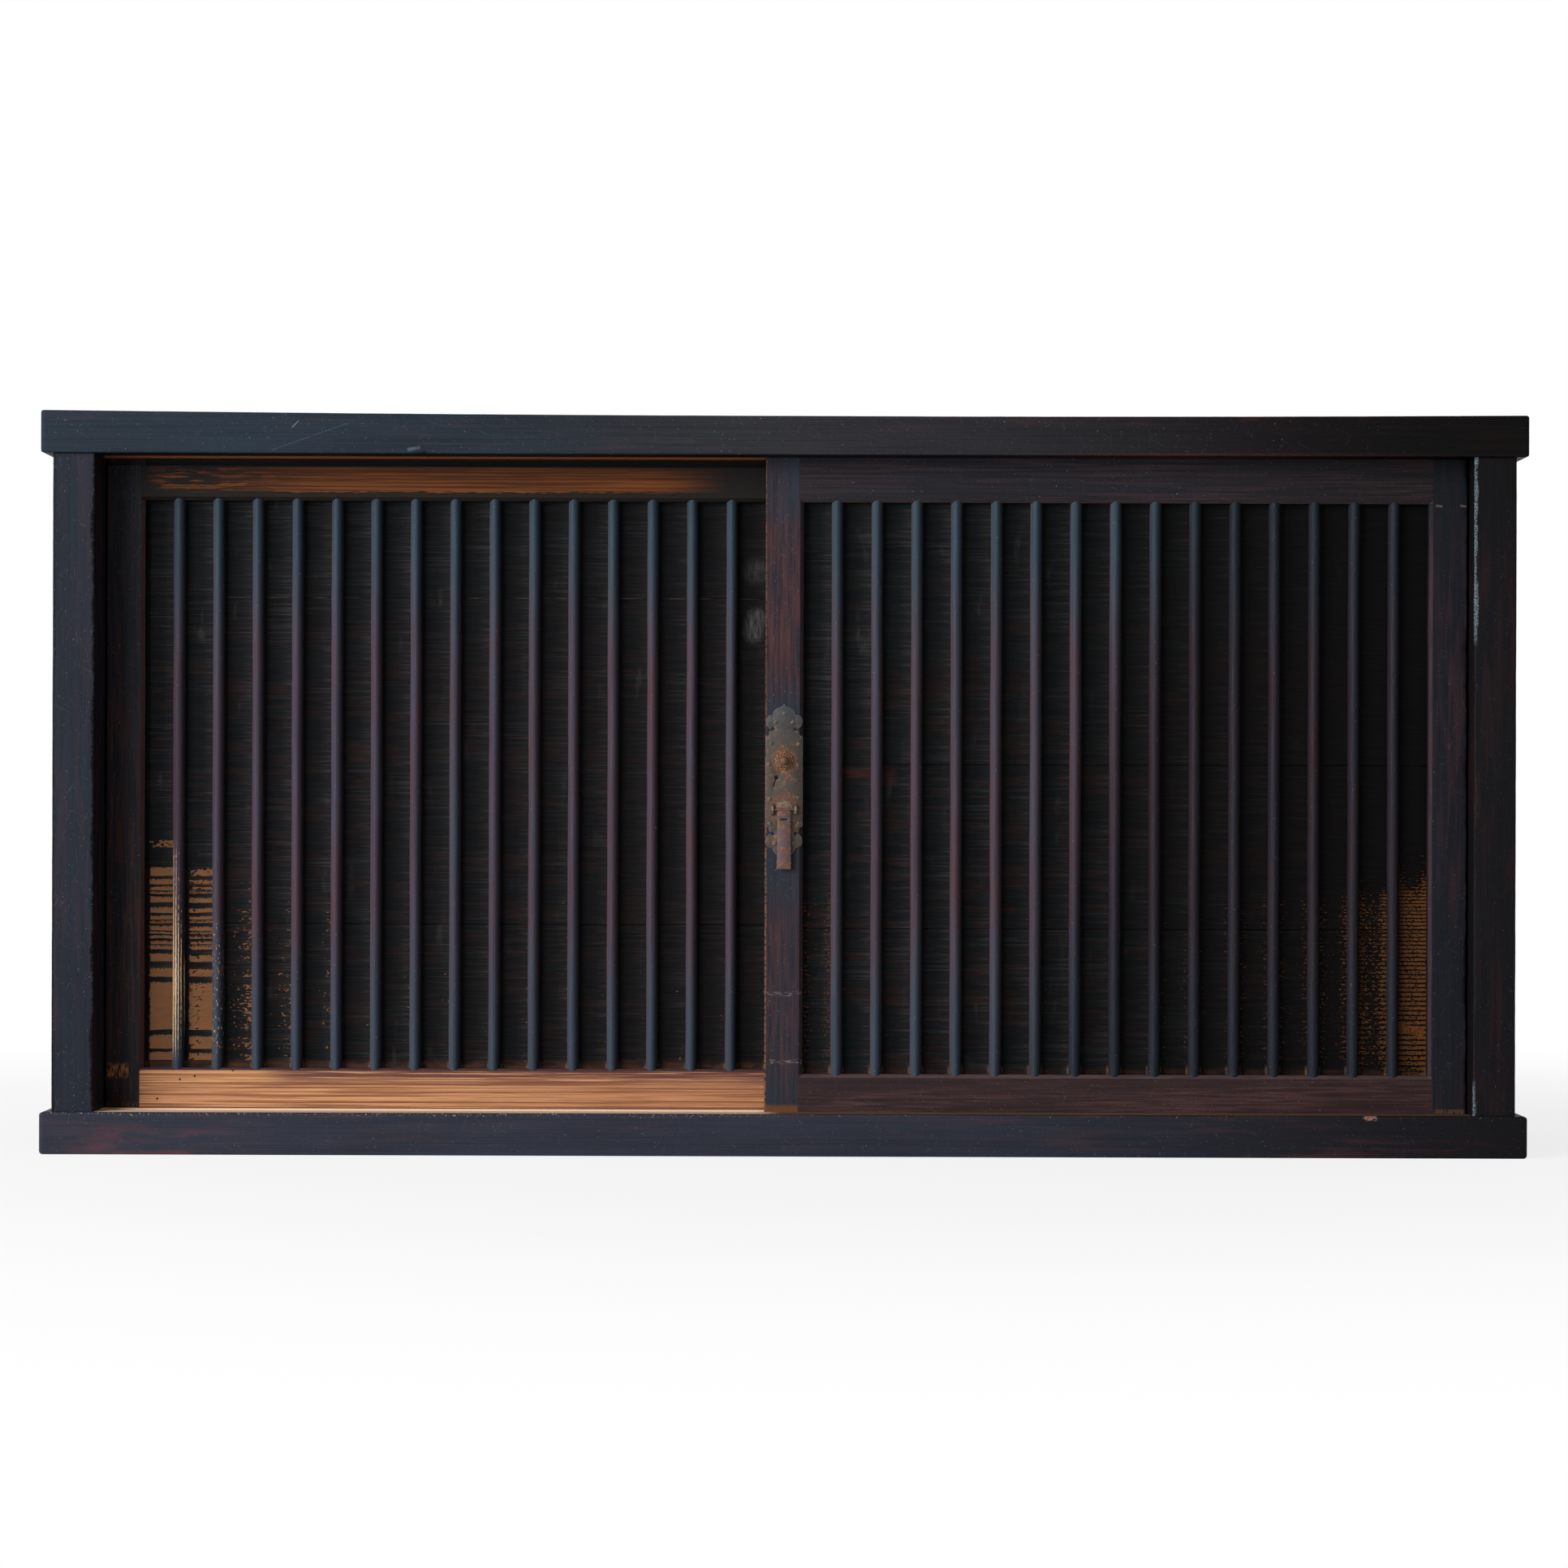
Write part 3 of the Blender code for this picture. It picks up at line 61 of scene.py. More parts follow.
# Places shared by several pieces, read from the frame, in metres
chestLow, chestHigh = np.array(cadBounds)
postInner = -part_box("front_left_post")[1].x
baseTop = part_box("base_front_sill")[1].z
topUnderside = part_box("top_rear_plank")[0].z
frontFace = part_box("right_door_left_stile")[0].y
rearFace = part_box("left_door_left_stile")[0].y
sideMiddle = 0.729
tongueRebate = 0.006
trackPlay = 0.0007
doorChamfer = 0.0036
railLip = 0.0042
opened = {}  # the node tree that the shader functions work in


def toLinear(hexColour):
    # sRGB hex to the linear colour that the shaders work in
    channels = [int(hexColour[i : i + 2], 16) / 255 for i in (1, 3, 5)]
    linear = [c / 12.92 if c <= 0.04045 else ((c + 0.055) / 1.055) ** 2.4 for c in channels]
    return (*linear, 1.0)


def link(output, socket):
    opened["tree"].links.new(output, socket)


def add(kind, inputs=None, **settings):
    # One shader node with its settings, its input values and its links
    made = opened["tree"].nodes.new("ShaderNode" + kind)
    for setting, value in settings.items():
        setattr(made, setting, value)
    for socket, value in (inputs or {}).items():
        if isinstance(value, bpy.types.NodeSocket):
            link(value, made.inputs[socket])
        else:
            made.inputs[socket].default_value = value
    return made


def newMaterial(name):
    # Opens a material: the nodes made from here on are its own
    material = bpy.data.materials.new(name)
    material.use_nodes = True
    opened["tree"] = material.node_tree
    return material, material.node_tree.nodes["Principled BSDF"]


def newObject(name, data):
    made = bpy.data.objects.new(name, data)
    bpy.context.scene.collection.objects.link(made)
    return made


def reckon(operation, *values):
    # One step of arithmetic with numbers and node outputs
    return add("Math", dict(enumerate(values)), operation=operation).outputs[0]


def mapped(value, source, result=(0, 1), kind="LINEAR"):
    # A value between two limits brought to lie between two others
    limits = dict(zip(("From Min", "From Max", "To Min", "To Max"), (*source, *result)))
    return add("MapRange", {"Value": value, **limits}, interpolation_type=kind).outputs["Result"]


def step(value, none, full):
    # 0 at the value none, easing to 1 at the value full
    return mapped(value, (none, full), kind="SMOOTHSTEP")


def scaled(value, low, high):
    # A value between 0 and 1 brought to lie between low and high
    return mapped(value, (0, 1), (low, high))


def noiseIn(room, detail, wobble=0.0, kind="POINT"):
    # Noise in the chest's own places, as the room moves, turns and stretches them
    room = {"Vector": add("TexCoord").outputs["Object"], **room}
    moved = add("Mapping", room, vector_type=kind).outputs["Vector"]
    look = {"Vector": moved, "Scale": 1.0, "Detail": detail, "Distortion": wobble}
    return add("TexNoise", look).outputs["Fac"]


def grainNoise(grain, across, along, detail=4.0, shift=0.0, wobble=0.0):
    # Noise on stretched places: its blots are across metres wide and along metres long
    stretch = [1 / across] * 3
    stretch["XYZ".index(grain)] = 1 / along
    return noiseIn({"Location": (shift, shift, shift), "Scale": stretch}, detail, wobble)


def streaks(grain, across, along, cover, detail=4.0, shift=0.0, wobble=0.0):
    # The noise cut to separate blots: cover holds the levels where they begin and are full
    return step(grainNoise(grain, across, along, detail, shift, wobble), *cover)


def scratches(angle, cover, shift):
    # Sparse hair lines across the front at an angle in degrees
    turn = (0, math.radians(angle), 0)
    room = {"Location": (shift, shift, shift), "Rotation": turn, "Scale": (0.022, 0.01, 0.0007)}
    return step(noiseIn(room, 1.0, kind="TEXTURE"), *cover)


def spot(axis, kind="Object"):
    # Where the surface lies along an axis
    return add("SeparateXYZ", {"Vector": add("TexCoord").outputs[kind]}).outputs[axis]


def facing(axis):
    # How far the surface looks along an axis of the chest, -1 to 1
    return spot(axis, "Normal")


def fade(axis, full, none):
    # 1 where an axis passes the place full, down to 0 at the place none
    return step(spot(axis), none, full)


def between(axis, low, high, soft):
    # 1 between two places on an axis, softly 0 outside them
    rise = fade(axis, low + soft, low - soft)
    return reckon("MULTIPLY", rise, fade(axis, high - soft, high + soft))


def coat(under, over, *masks):
    # Lays one colour over another as far as all the masks let it
    share = masks[0]
    for mask in masks[1:]:
        share = reckon("MULTIPLY", share, mask)
    under, over = (toLinear(c) if isinstance(c, str) else c for c in (under, over))
    return add("Mix", {0: share, 6: under, 7: over}, data_type="RGBA").outputs[2]


def woodSurface(shader, colour, fibres, relief, roughness, gloss):
    # Fine fibres roughen the surface and stand proud by relief metres
    shader.inputs["Specular IOR Level"].default_value = gloss
    link(colour, shader.inputs["Base Color"])
    link(scaled(fibres, *roughness), shader.inputs["Roughness"])
    bump = add("Bump", {"Height": fibres, "Distance": relief, "Strength": 1.0})
    link(bump.outputs["Normal"], shader.inputs["Normal"])


def stroke(start, end, full, none):
    # 1 within one distance of a straight mark on the front, 0 beyond another. The nearest
    # place on the mark lies t = (p - a).(b - a) / |b - a|^2 of the way from a to b.
    run = np.array(end) - np.array(start)
    square = float(run @ run)
    x = reckon("SUBTRACT", spot("X"), start[0])
    z = reckon("SUBTRACT", spot("Z"), start[1])
    along = reckon("MULTIPLY", z, float(run[1]) / square)
    along = reckon("MULTIPLY_ADD", x, float(run[0]) / square, along)
    along = reckon("MINIMUM", reckon("MAXIMUM", along, 0.0), 1.0)
    x = reckon("MULTIPLY_ADD", along, -float(run[0]), x)
    z = reckon("MULTIPLY_ADD", along, -float(run[1]), z)
    distance = reckon("SQRT", reckon("MULTIPLY_ADD", x, x, reckon("MULTIPLY", z, z)))
    return step(distance, none, full)


def dot(place, full, none):
    # A round mark
    return stroke(place, (place[0] + 0.0001, place[1]), full, none)


def slanted():
    # 1 on chamfers and eased edges, 0 on faces square to the chest
    x, y, z = (reckon("ABSOLUTE", facing(axis)) for axis in "XYZ")
    return step(reckon("MAXIMUM", reckon("MAXIMUM", x, y), z), 0.96, 0.85)


# Cypress and cedar under a black-brown stain and a thin rubbed lacquer. The eye sees near
# black with a reddish flame where the stain is thin, and a blue-grey haze that is partly the
# lacquer's own and partly a painted sheen of the key light, which fades towards the right
stainedTimber = {
    "ground": "#131012",
    "flame": "#3A1D1D",
    "flameSize": (0.007, 0.09),
    "flameCover": (0.44, 0.64),
    "flameZones": (),
    "hazeAndSheen": "#252E3A",
    "hazeAndSheenFar": None,
    "hazeAndSheenLevel": 0.85,
    "hazeAndSheenSpan": (0.0, 0.6),
    "paintedShadeRight": 0.35,
    "lineDepth": 0.2,
    "speck": "#6A6E78",
    "scratch": 0.13,
    "chamfer": None,
    "roughness": (0.42, 0.6),
    "gloss": 0.05,
    "relief": 0.0001,
}


def stainedWood(name, grain, changes=None, extra=None):
    look = {**stainedTimber, **(changes or {})}
    material, shader = newMaterial(name)
    fibres = streaks(grain, 0.0009, 0.05, (0.3, 0.7), 5.0)
    lines = streaks(grain, 0.0013, 0.25, (0.46, 0.66), 4.0, 13.0)
    flames = streaks(grain, *look["flameSize"], look["flameCover"], 8.0, 3.0, 0.5)
    broad = streaks(grain, 0.045, 0.3, (0.4, 0.6), 3.0, 7.0)
    cloud = streaks(grain, 0.02, 0.12, (0.25, 0.75), 6.0, 11.0)
    specks = streaks(grain, 0.0012, 0.0016, (0.765, 0.79), 1.0, 5.0)

    if look["flameZones"]:
        broad = scaled(broad, 0, 0.35)
    for low, high, strength in look["flameZones"]:
        zone = scaled(between("Z", low, high, 0.03), 0, strength)
        broad = reckon("MAXIMUM", broad, zone)
    colour = coat(look["ground"], look["flame"], flames, broad)
    # Painted sheen: the haze is laid fully only on faces that look to the front
    front = scaled(step(facing("Y"), -0.2, -0.8), 0.3, 1.0)
    level = scaled(cloud, look["hazeAndSheenLevel"] * 0.75, look["hazeAndSheenLevel"])
    if look["flameZones"]:
        level = reckon("MULTIPLY", level, scaled(broad, 1.0, 0.25))
    # Painted sheen: the haze fades towards the right, as the key light's reflection does
    reach = fade("X", *look["hazeAndSheenSpan"])
    hazeAndSheen = look["hazeAndSheen"]
    if look["hazeAndSheenFar"]:
        hazeAndSheen = coat(hazeAndSheen, look["hazeAndSheenFar"], fade("X", 0.0, -0.4))
    colour = coat(colour, hazeAndSheen, level, reach, front)
    colour = coat(colour, "#070608", scaled(lines, 0, look["lineDepth"]))
    if look["chamfer"]:
        tint = scaled(streaks(grain, 0.002, 0.03, (0.3, 0.6), 4.0, 29.0), 0.4, 1.0)
        colour = coat(colour, look["chamfer"], slanted(), tint)
    colour = coat(colour, look["speck"], specks)
    for angle, shift in ((24, 0.0), (-61, 0.7), (79, 1.9)):
        hairs = scratches(angle, (0.735, 0.76), shift)
        colour = coat(colour, "#69717E", scaled(hairs, 0, look["scratch"]))
    if extra:
        colour = extra(colour)
    # Painted shade: the wood darkens towards the right, where the key light falls off
    right = scaled(fade("X", 0.72, 0.36), 0, look["paintedShadeRight"])
    colour = coat(colour, "#040404", right)
    woodSurface(shader, colour, fibres, look["relief"], look["roughness"], look["gloss"])
    return material


def edgeWear(colour, bare, size, cover, *masks):
    # Ragged chips of another colour on the worn arrises that makePiece marks
    wornOrLit = add("Attribute", attribute_name="edge")
    chips = streaks("Y", *size, cover, 5.0, 9.0)
    return coat(colour, bare, wornOrLit.outputs["Fac"], chips, *masks)


def wander(places, seed, size):
    # Smooth unevenness along a length: four sines of falling size with seeded phases
    dice = np.random.default_rng(seed)
    total = np.zeros_like(places)
    for wave, share in ((0.35, 0.42), (0.14, 0.28), (0.052, 0.18), (0.019, 0.12)):
        length = wave * dice.uniform(0.85, 1.15)
        total += share * np.sin(2 * math.pi * places / length + dice.uniform(0, 2 * math.pi))
    return size * total


def wornOutline(corners, wear, steps=6):
    # Rounds the square corners of outlines (stations, corners, 2), by a radius and a guard for
    # each corner's number. A corner K between the directions p to the last and n to the next
    # one, rounded by r, gives the points K + r(p + n) - r(n cos t + p sin t). A guard point on
    # each side keeps the wear there.
    before = np.roll(corners, 1, axis=1) - corners
    after = np.roll(corners, -1, axis=1) - corners
    before = before / np.maximum(np.linalg.norm(before, axis=2, keepdims=True), 1e-9)
    after = after / np.maximum(np.linalg.norm(after, axis=2, keepdims=True), 1e-9)
    sizes = np.zeros((2, *corners.shape[:2], 1, 1))
    for corner, (radius, guard) in wear.items():
        sizes[0, :, corner, 0, 0] = radius
        sizes[1, :, corner, 0, 0] = guard
    radius, guard = sizes
    point, before, after = (part[:, :, None, :] for part in (corners, before, after))
    turn = np.linspace(0, math.pi / 2, steps)[None, None, :, None]
    arcs = point + radius * (before + after)
    arcs = arcs - radius * (after * np.cos(turn) + before * np.sin(turn))
    start = point + (radius + guard) * before
    end = point + (radius + guard) * after
    outline = np.concatenate([start, arcs, end], axis=2)
    wornOrLit = np.ones(outline.shape[:3])
    wornOrLit[:, :, [0, -1]] = 0
    wornOrLit = wornOrLit * (guard[..., 0] > 0)
    count = outline.shape[1] * outline.shape[2]
    return outline.reshape(len(corners), count, 2), wornOrLit.reshape(len(corners), count)


def knocked(stations, seed, least, size):
    # The radius of an arris that has been knocked about along its length
    return least + np.abs(wander(stations, seed, size))


def roundEnds(outline, stations, reach):
    # Clamps each outline into its own box, drawn in by a quarter circle near both ends
    gap = np.minimum(stations - stations[0], stations[-1] - stations)
    inside = np.clip(reach - gap, 0, reach)
    inset = (reach - np.sqrt(reach**2 - inside**2))[:, None, None]
    low = outline.min(axis=1, keepdims=True)
    high = outline.max(axis=1, keepdims=True)
    return np.clip(outline, low + inset, high - inset)


def pair(first, second):
    # Two measures, or rows of them, as points
    return np.stack(np.broadcast_arrays(first, second), axis=-1)


def crossSections(stations, points):
    # One outline for each station, from points whose parts are numbers or rows of them
    rows = np.broadcast_arrays(stations, *(part for point in points for part in point))
    return np.stack(rows[1:], axis=-1).reshape(len(stations), len(points), 2)


def alongAxis(stations, outline, axis):
    # Puts outlines across an axis: (y, z) along X, (x, y) along Z
    places = np.broadcast_to(stations[:, None], outline.shape[:2])
    first, second = outline[..., 0], outline[..., 1]
    return np.stack((places, first, second) if axis == "X" else (first, second, places), axis=-1)


def makePiece(name, shells, wornOrLit=None, ease=0.0005, smooth=35, sheets=()):
    # A shell is a grid of points (stations, around, 3): quads join its stations and one face
    # closes each end. A sheet is a list of such grids, one for each outline, and its two
    # sides are filled between all of its outlines, so that the inner ones are holes. The
    # wear of all points, from 0 to 1, goes into the attribute edge, which finishes read.
    shells = shells if isinstance(shells, list) else [shells]
    grids = shells + [grid for sheet in sheets for grid in sheet]
    faces, rows, start = [], [], 0
    for number, grid in enumerate(grids):
        stations, around, _ = grid.shape
        index = start + np.arange(stations * around).reshape(stations, around)
        onward = np.roll(index, -1, axis=1)
        quads = np.stack([index[:-1], onward[:-1], onward[1:], index[1:]], axis=-1)
        faces += quads.reshape(-1, 4).tolist()
        if number < len(shells):
            faces += [index[0, ::-1].tolist(), index[-1].tolist()]
        rows.append(index)
        start += stations * around
    mesh = bpy.data.meshes.new(name)
    points = np.concatenate([grid.reshape(-1, 3) for grid in grids])
    mesh.from_pydata(points.tolist(), [], faces)
    wear = mesh.attributes.new("edge", "FLOAT", "POINT")
    if wornOrLit is not None:
        marks = np.concatenate([part.reshape(-1) for part in wornOrLit])
        wear.data.foreach_set("value", marks.astype(np.float32))
    work = bmesh.new()
    work.from_mesh(mesh)
    work.verts.ensure_lookup_table()
    used = len(shells)
    for sheet in sheets:
        for end in (0, -1):
            rims = [rows[used + k][end] for k in range(len(sheet))]
            sides = np.concatenate([np.stack([rim, np.roll(rim, -1)], axis=1) for rim in rims])
            edges = [work.edges.get([work.verts[i] for i in side]) for side in sides.tolist()]
            bmesh.ops.triangle_fill(work, edges=edges, use_beauty=True, normal=(0, -1, 0))
        used += len(sheet)
    bmesh.ops.remove_doubles(work, verts=work.verts, dist=2e-6)
    bmesh.ops.dissolve_degenerate(work, edges=work.edges, dist=1e-6)
    bmesh.ops.recalc_face_normals(work, faces=work.faces)
    if work.calc_volume(signed=True) < 0:
        bmesh.ops.reverse_faces(work, faces=work.faces)
    openEdges = sum(not edge.is_manifold for edge in work.edges)
    if openEdges:
        print("open edges in", name, openEdges)
    work.to_mesh(mesh)
    work.free()
    mesh.shade_smooth()
    mesh.set_sharp_from_angle(angle=math.radians(smooth))
    piece = newObject(name, mesh)
    if ease:
        bevel = piece.modifiers.new("eased_edges", "BEVEL")
        bevel.width = ease
        bevel.segments = 2
        bevel.limit_method = "ANGLE"
        bevel.angle_limit = math.radians(smooth)
    return piece


def place(piece, material, body, slot, *replaced):
    piece.data.materials.append(material)
    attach(piece, body)
    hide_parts(*replaced)


def dress(material, *nodes):
    # Carried-over pieces of the frame keep their meshes and get their finish
    for node in nodes:
        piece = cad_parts[node]
        if piece.material_slots:
            piece.material_slots[0].material = material
        else:
            piece.data.materials.append(material)


def wornLength(name, stations, corners, wear, axis="X", endRound=0):
    # A length of wood with worn arrises
    shape, wornOrLit = wornOutline(corners, wear)
    if endRound:
        shape = roundEnds(shape, stations, endRound)
    return makePiece(name, alongAxis(stations, shape, axis), wornOrLit)


def spaced(start, end, gap):
    return np.linspace(start, end, max(2, int(round((end - start) / gap)) + 1))


def trackStations(gap):
    # Stations for a member with grooves, doubled where the grooves stop at the posts
    near = np.array([0, 0.0004, 0.0012, 0.0025, 0.004, 0.006])
    ends = spaced(chestHigh[0] - near[-1], postInner + 1e-6, gap)
    right = np.concatenate([ends[::-1], (chestHigh[0] - near[::-1])[1:]])
    return np.concatenate([-right[::-1], spaced(-postInner, postInner, gap), right])


def trackRows():
    # y of both door grooves: the front door's rebate is behind, the rear door's in front
    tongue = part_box("right_door_left_stile")[1].y - frontFace - tongueRebate
    front = frontFace - trackPlay
    rear = rearFace + tongueRebate - trackPlay
    return (front, front + tongue + 2 * trackPlay), (rear, rear + tongue + 2 * trackPlay)


def groovedCorners(stations, node, far, flat, deep):
    # A member whose face at the height flat carries both door grooves, down to deep. They run
    # only between the posts: past them their points lie on the flat face.
    low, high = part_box(node)
    outline = [(low.y, far), (high.y, far), (high.y, flat)]
    for start, end in reversed(trackRows()):
        outline += [(end, flat), (end, deep), (start, deep), (start, flat)]
    corners = crossSections(stations, outline + [(low.y, flat)])
    outside = np.abs(stations) > postInner + 1e-7
    for row in (4, 5, 8, 9):
        corners[outside, row, 1] = flat
    return corners


# Two planks make the top; the front one is slightly bowed and carries the door grooves
topPlank = {
    "bow": 0.0038,
    "lowEnd": 0.0012,
    "frontArris": 0.0013,
    "wearDepth": 0.0012,
    "lowWear": 0.0007,
    "rearArris": 0.002,
    "rearWear": 0.0015,
    "rearRound": 0.0015,
    "rearDrop": 0.0002,
    "guard": 0.002,
    "endRound": 0.0035,
    "grooveDepth": 0.014,
    "dentPlace": -0.369,
    "dentWidth": 0.011,
    "dentDepth": 0.0035,
}


def topFrontPlank():
    stations = trackStations(0.005)
    deep = topUnderside + topPlank["grooveDepth"]
    corners = groovedCorners(stations, "top_front_plank", chestHigh[2], topUnderside, deep)
    share = stations / chestHigh[0]
    bow = topPlank["bow"] * (1 - np.abs(share) ** 2) + topPlank["lowEnd"] * np.clip(share, 0, 1)
    corners[:, :2, 1] -= bow[:, None]
    dent = np.exp(-(((stations - topPlank["dentPlace"]) / topPlank["dentWidth"]) ** 2) * 3)
    upper = knocked(stations, 3, topPlank["frontArris"], topPlank["wearDepth"])
    lower = knocked(stations, 4, topPlank["frontArris"], topPlank["lowWear"])
    guard = topPlank["guard"]
    wear = {0: (upper, guard), 11: (lower + topPlank["dentDepth"] * dent, guard)}
    return wornLength("top_front", stations, corners, wear, "X", topPlank["endRound"])


def topRearPlank():
    low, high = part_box("top_rear_plank")
    stations = trackStations(0.01)
    upper = high.z - topPlank["rearDrop"]
    outline = [(low.y, upper), (high.y, upper), (high.y, low.z), (low.y, low.z)]
    arris = knocked(stations, 8, topPlank["rearArris"], topPlank["rearWear"])
    wear = {1: (arris, topPlank["guard"]), 2: (topPlank["rearRound"], 0)}
    corners = crossSections(stations, outline)
    return wornLength("top_rear", stations, corners, wear, "X", topPlank["endRound"])


baseSill = {
    "arris": 0.0013,
    "wearDepth": 0.0022,
    "guard": 0.0018,
    "footRound": 0.0015,
    "endRound": 0.0045,
    "grooveDepth": 0.003,
}


def baseSillPiece():
    stations = trackStations(0.004)
    inward = baseSill["endRound"] * np.array([0.03, 0.12, 0.27, 0.5, 0.75, 1])
    ends = [stations[0] + inward, stations[-1] - inward]
    stations = np.unique(np.concatenate([stations, *ends]).round(6))
    deep = baseTop - baseSill["grooveDepth"]
    corners = groovedCorners(stations, "base_front_sill", chestLow[2], baseTop, deep)
    upper = knocked(stations, 21, baseSill["arris"], baseSill["wearDepth"])
    wear = {0: (baseSill["footRound"], 0), 11: (upper, baseSill["guard"])}
    return wornLength("base_sill", stations, corners, wear, "X", baseSill["endRound"])


# Corner posts: the arris beside the doors is knocked about, the outer one is rounder
post = {
    "arris": 0.0011,
    "innerWear": 0.0034,
    "rearShare": 0.3,
    "outerWear": 0.0014,
    "guard": 0.0015,
    "boardGroove": 0.006,
    "play": 0.0003,
}


def cornerPost(node, side, front, seed):
    low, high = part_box(node)
    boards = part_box(("left" if side < 0 else "right") + "_side_panel")
    stations = spaced(baseTop, topUnderside, 0.004)
    inner, outer = sorted((low.x, high.x), key=abs)
    near, far = sorted((boards[0].x, boards[1].x), key=abs)
    near, far = near - side * post["play"], far + side * post["play"]
    face, back = (low.y, high.y) if front else (high.y, low.y)
    deep = back + (-1 if front else 1) * post["boardGroove"]
    outline = [(outer, face), (inner, face), (inner, back), (near, back)]
    outline += [(near, deep), (far, deep), (far, back), (outer, back)]
    inward = post["innerWear"] * (1 if front else post["rearShare"])
    inside = knocked(stations, seed, post["arris"], inward)
    outside = knocked(stations, seed + 1, post["arris"], post["outerWear"])
    wear = {0: (outside, post["guard"]), 1: (inside, post["guard"])}
    corners = crossSections(stations, outline)
    return wornLength(node.replace("_post", "_leg"), stations, corners, wear, "Z")


# Sliding doors: stiles and rails chamfered round the opening, boards and half-round bars
door = {
    "arris": 0.0007,
    "outerWear": 0.0004,
    "closingWear": 0.0045,
    "guard": 0.0015,
    "bottomRail": 0.0387,
    "topRail": 0.0455,
    "shoulderDrop": 0.007,
    "panelJoint": 0.0011,
    "jointDepth": 0.0012,
    "barWander": 0.00025,
    "barUneven": 0.02,
    "barFlat": 0.58,
}
doorFacts = {
    "left": {"face": rearFace, "rebateInFront": True, "lift": 0.0025, "joints": (0.254, 0.830)},
    "right": {"face": frontFace, "rebateInFront": False, "lift": 0, "joints": (0.254, 0.542)},
}
for word, facts in doorFacts.items():
    stile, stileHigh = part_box(f"{word}_door_left_stile")
    facts["left"] = stileHigh.x
    facts["right"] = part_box(f"{word}_door_right_stile")[0].x
    facts["bottom"] = stile.z
    facts["top"] = stileHigh.z
    facts["back"] = stileHigh.y
    facts["openBottom"] = baseTop + door["bottomRail"] + facts["lift"]
    facts["openTop"] = topUnderside - door["topRail"] + facts["lift"]
    facts["foot"] = baseTop + trackPlay
    facts["shoulder"] = topUnderside - door["shoulderDrop"]
    opening = facts["openTop"] - facts["openBottom"]
    facts["seams"] = [facts["openBottom"] + share * opening for share in facts["joints"]]


def doorStile(word, side, seed, wear):
    facts = doorFacts[word]
    face = facts["face"]
    low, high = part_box(f"{word}_door_{side}_stile")
    inward = 1 if side == "left" else -1
    outer, inner = (low.x, high.x)[::inward]
    middle = spaced(facts["openBottom"], facts["openTop"], 0.004)
    below = spaced(facts["foot"], facts["openBottom"], 0.004)
    above = spaced(facts["openTop"], facts["shoulder"], 0.004)
    foot = [facts["bottom"], facts["foot"]]
    head = [facts["shoulder"], facts["top"]]
    stations = np.concatenate([foot, below, middle, above, head])
    # Zones going up: a tongue, the bottom rail, the opening, the top rail, a tongue
    zones = np.repeat([0, 1, 2, 1, 0], [2, len(below), len(middle), len(above), 2])
    rebate = np.where(zones == 0, tongueRebate, 0)
    front = face + rebate * facts["rebateInFront"]
    rear = facts["back"] - rebate * (not facts["rebateInFront"])
    notch = zones < 2
    cut = np.where(notch, railLip, doorChamfer)
    lip = np.where(notch, np.maximum(front, face + railLip), face + doorChamfer)
    halfway = np.where(notch, cut, cut / 2)
    depth = np.where(notch, lip, face + doorChamfer / 2)
    points = [(outer, front), (inner - inward * cut, front), (inner - inward * halfway, depth)]
    points += [(inner, lip), (inner, rear), (outer, rear)]
    arris = {0: (knocked(stations, seed, door["arris"], wear), door["guard"])}
    corners = crossSections(stations, points)
    return wornLength(f"{word}_stile_{side}", stations, corners, arris, "Z")


def doorRail(word, which):
    facts = doorFacts[word]
    face, back = facts["face"], facts["back"]
    up = 1 if which == "top" else -1
    opening = facts["openTop"] if up > 0 else facts["openBottom"]
    far = facts["top"] if up > 0 else facts["bottom"]
    rest = facts["shoulder"] if up > 0 else facts["foot"]
    ends = np.array([railLip, doorChamfer, 0.0, 0.0])
    middle = spaced(facts["left"] + 0.002, facts["right"] - 0.002, 0.02)
    stations = np.concatenate([facts["left"] - ends, middle, facts["right"] + ends[::-1]])
    aside = np.concatenate([ends, np.zeros(len(middle)), ends[::-1]])
    aside = np.minimum(aside, doorChamfer)
    isLip = np.zeros(len(stations), bool)
    isLip[[0, 1, 2, -1, -2, -3]] = True
    near = face + doorChamfer - aside
    points = [(face, opening + up * doorChamfer), (near, opening + up * aside)]
    points += [(near, opening), (back, opening)]
    if facts["rebateInFront"]:
        tongue = face + tongueRebate
        points += [(back, far), (tongue, far), (tongue, far), (tongue, rest), (face, rest)]
    else:
        tongue = back - tongueRebate
        points += [(back, rest), (tongue, rest), (tongue, far), (face, far), (face, far)]
    corners = crossSections(stations, points)
    corners[isLip, :, 0] = np.minimum(corners[isLip, :, 0], face + railLip)
    if facts["rebateInFront"]:
        shorter = np.minimum if up > 0 else np.maximum
        corners[isLip, :, 1] = shorter(corners[isLip, :, 1], rest)
    return makePiece(f"{word}_rail_{which}", alongAxis(stations, corners, "X"), ease=0.0004)


def doorPanel(word):
    low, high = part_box(f"{word}_door_panel")
    half = door["panelJoint"] / 2
    outline = [(low.y, low.z)]
    for height in doorFacts[word]["seams"]:
        outline += [(low.y, height - half), (low.y + door["jointDepth"], height)]
        outline += [(low.y, height + half)]
    outline += [(low.y, high.z), (high.y, high.z), (high.y, low.z)]
    stations = spaced(low.x, high.x, 0.02)
    shape = alongAxis(stations, crossSections(stations, outline), "X")
    return makePiece(f"{word}_boards", shape, ease=0.0002)


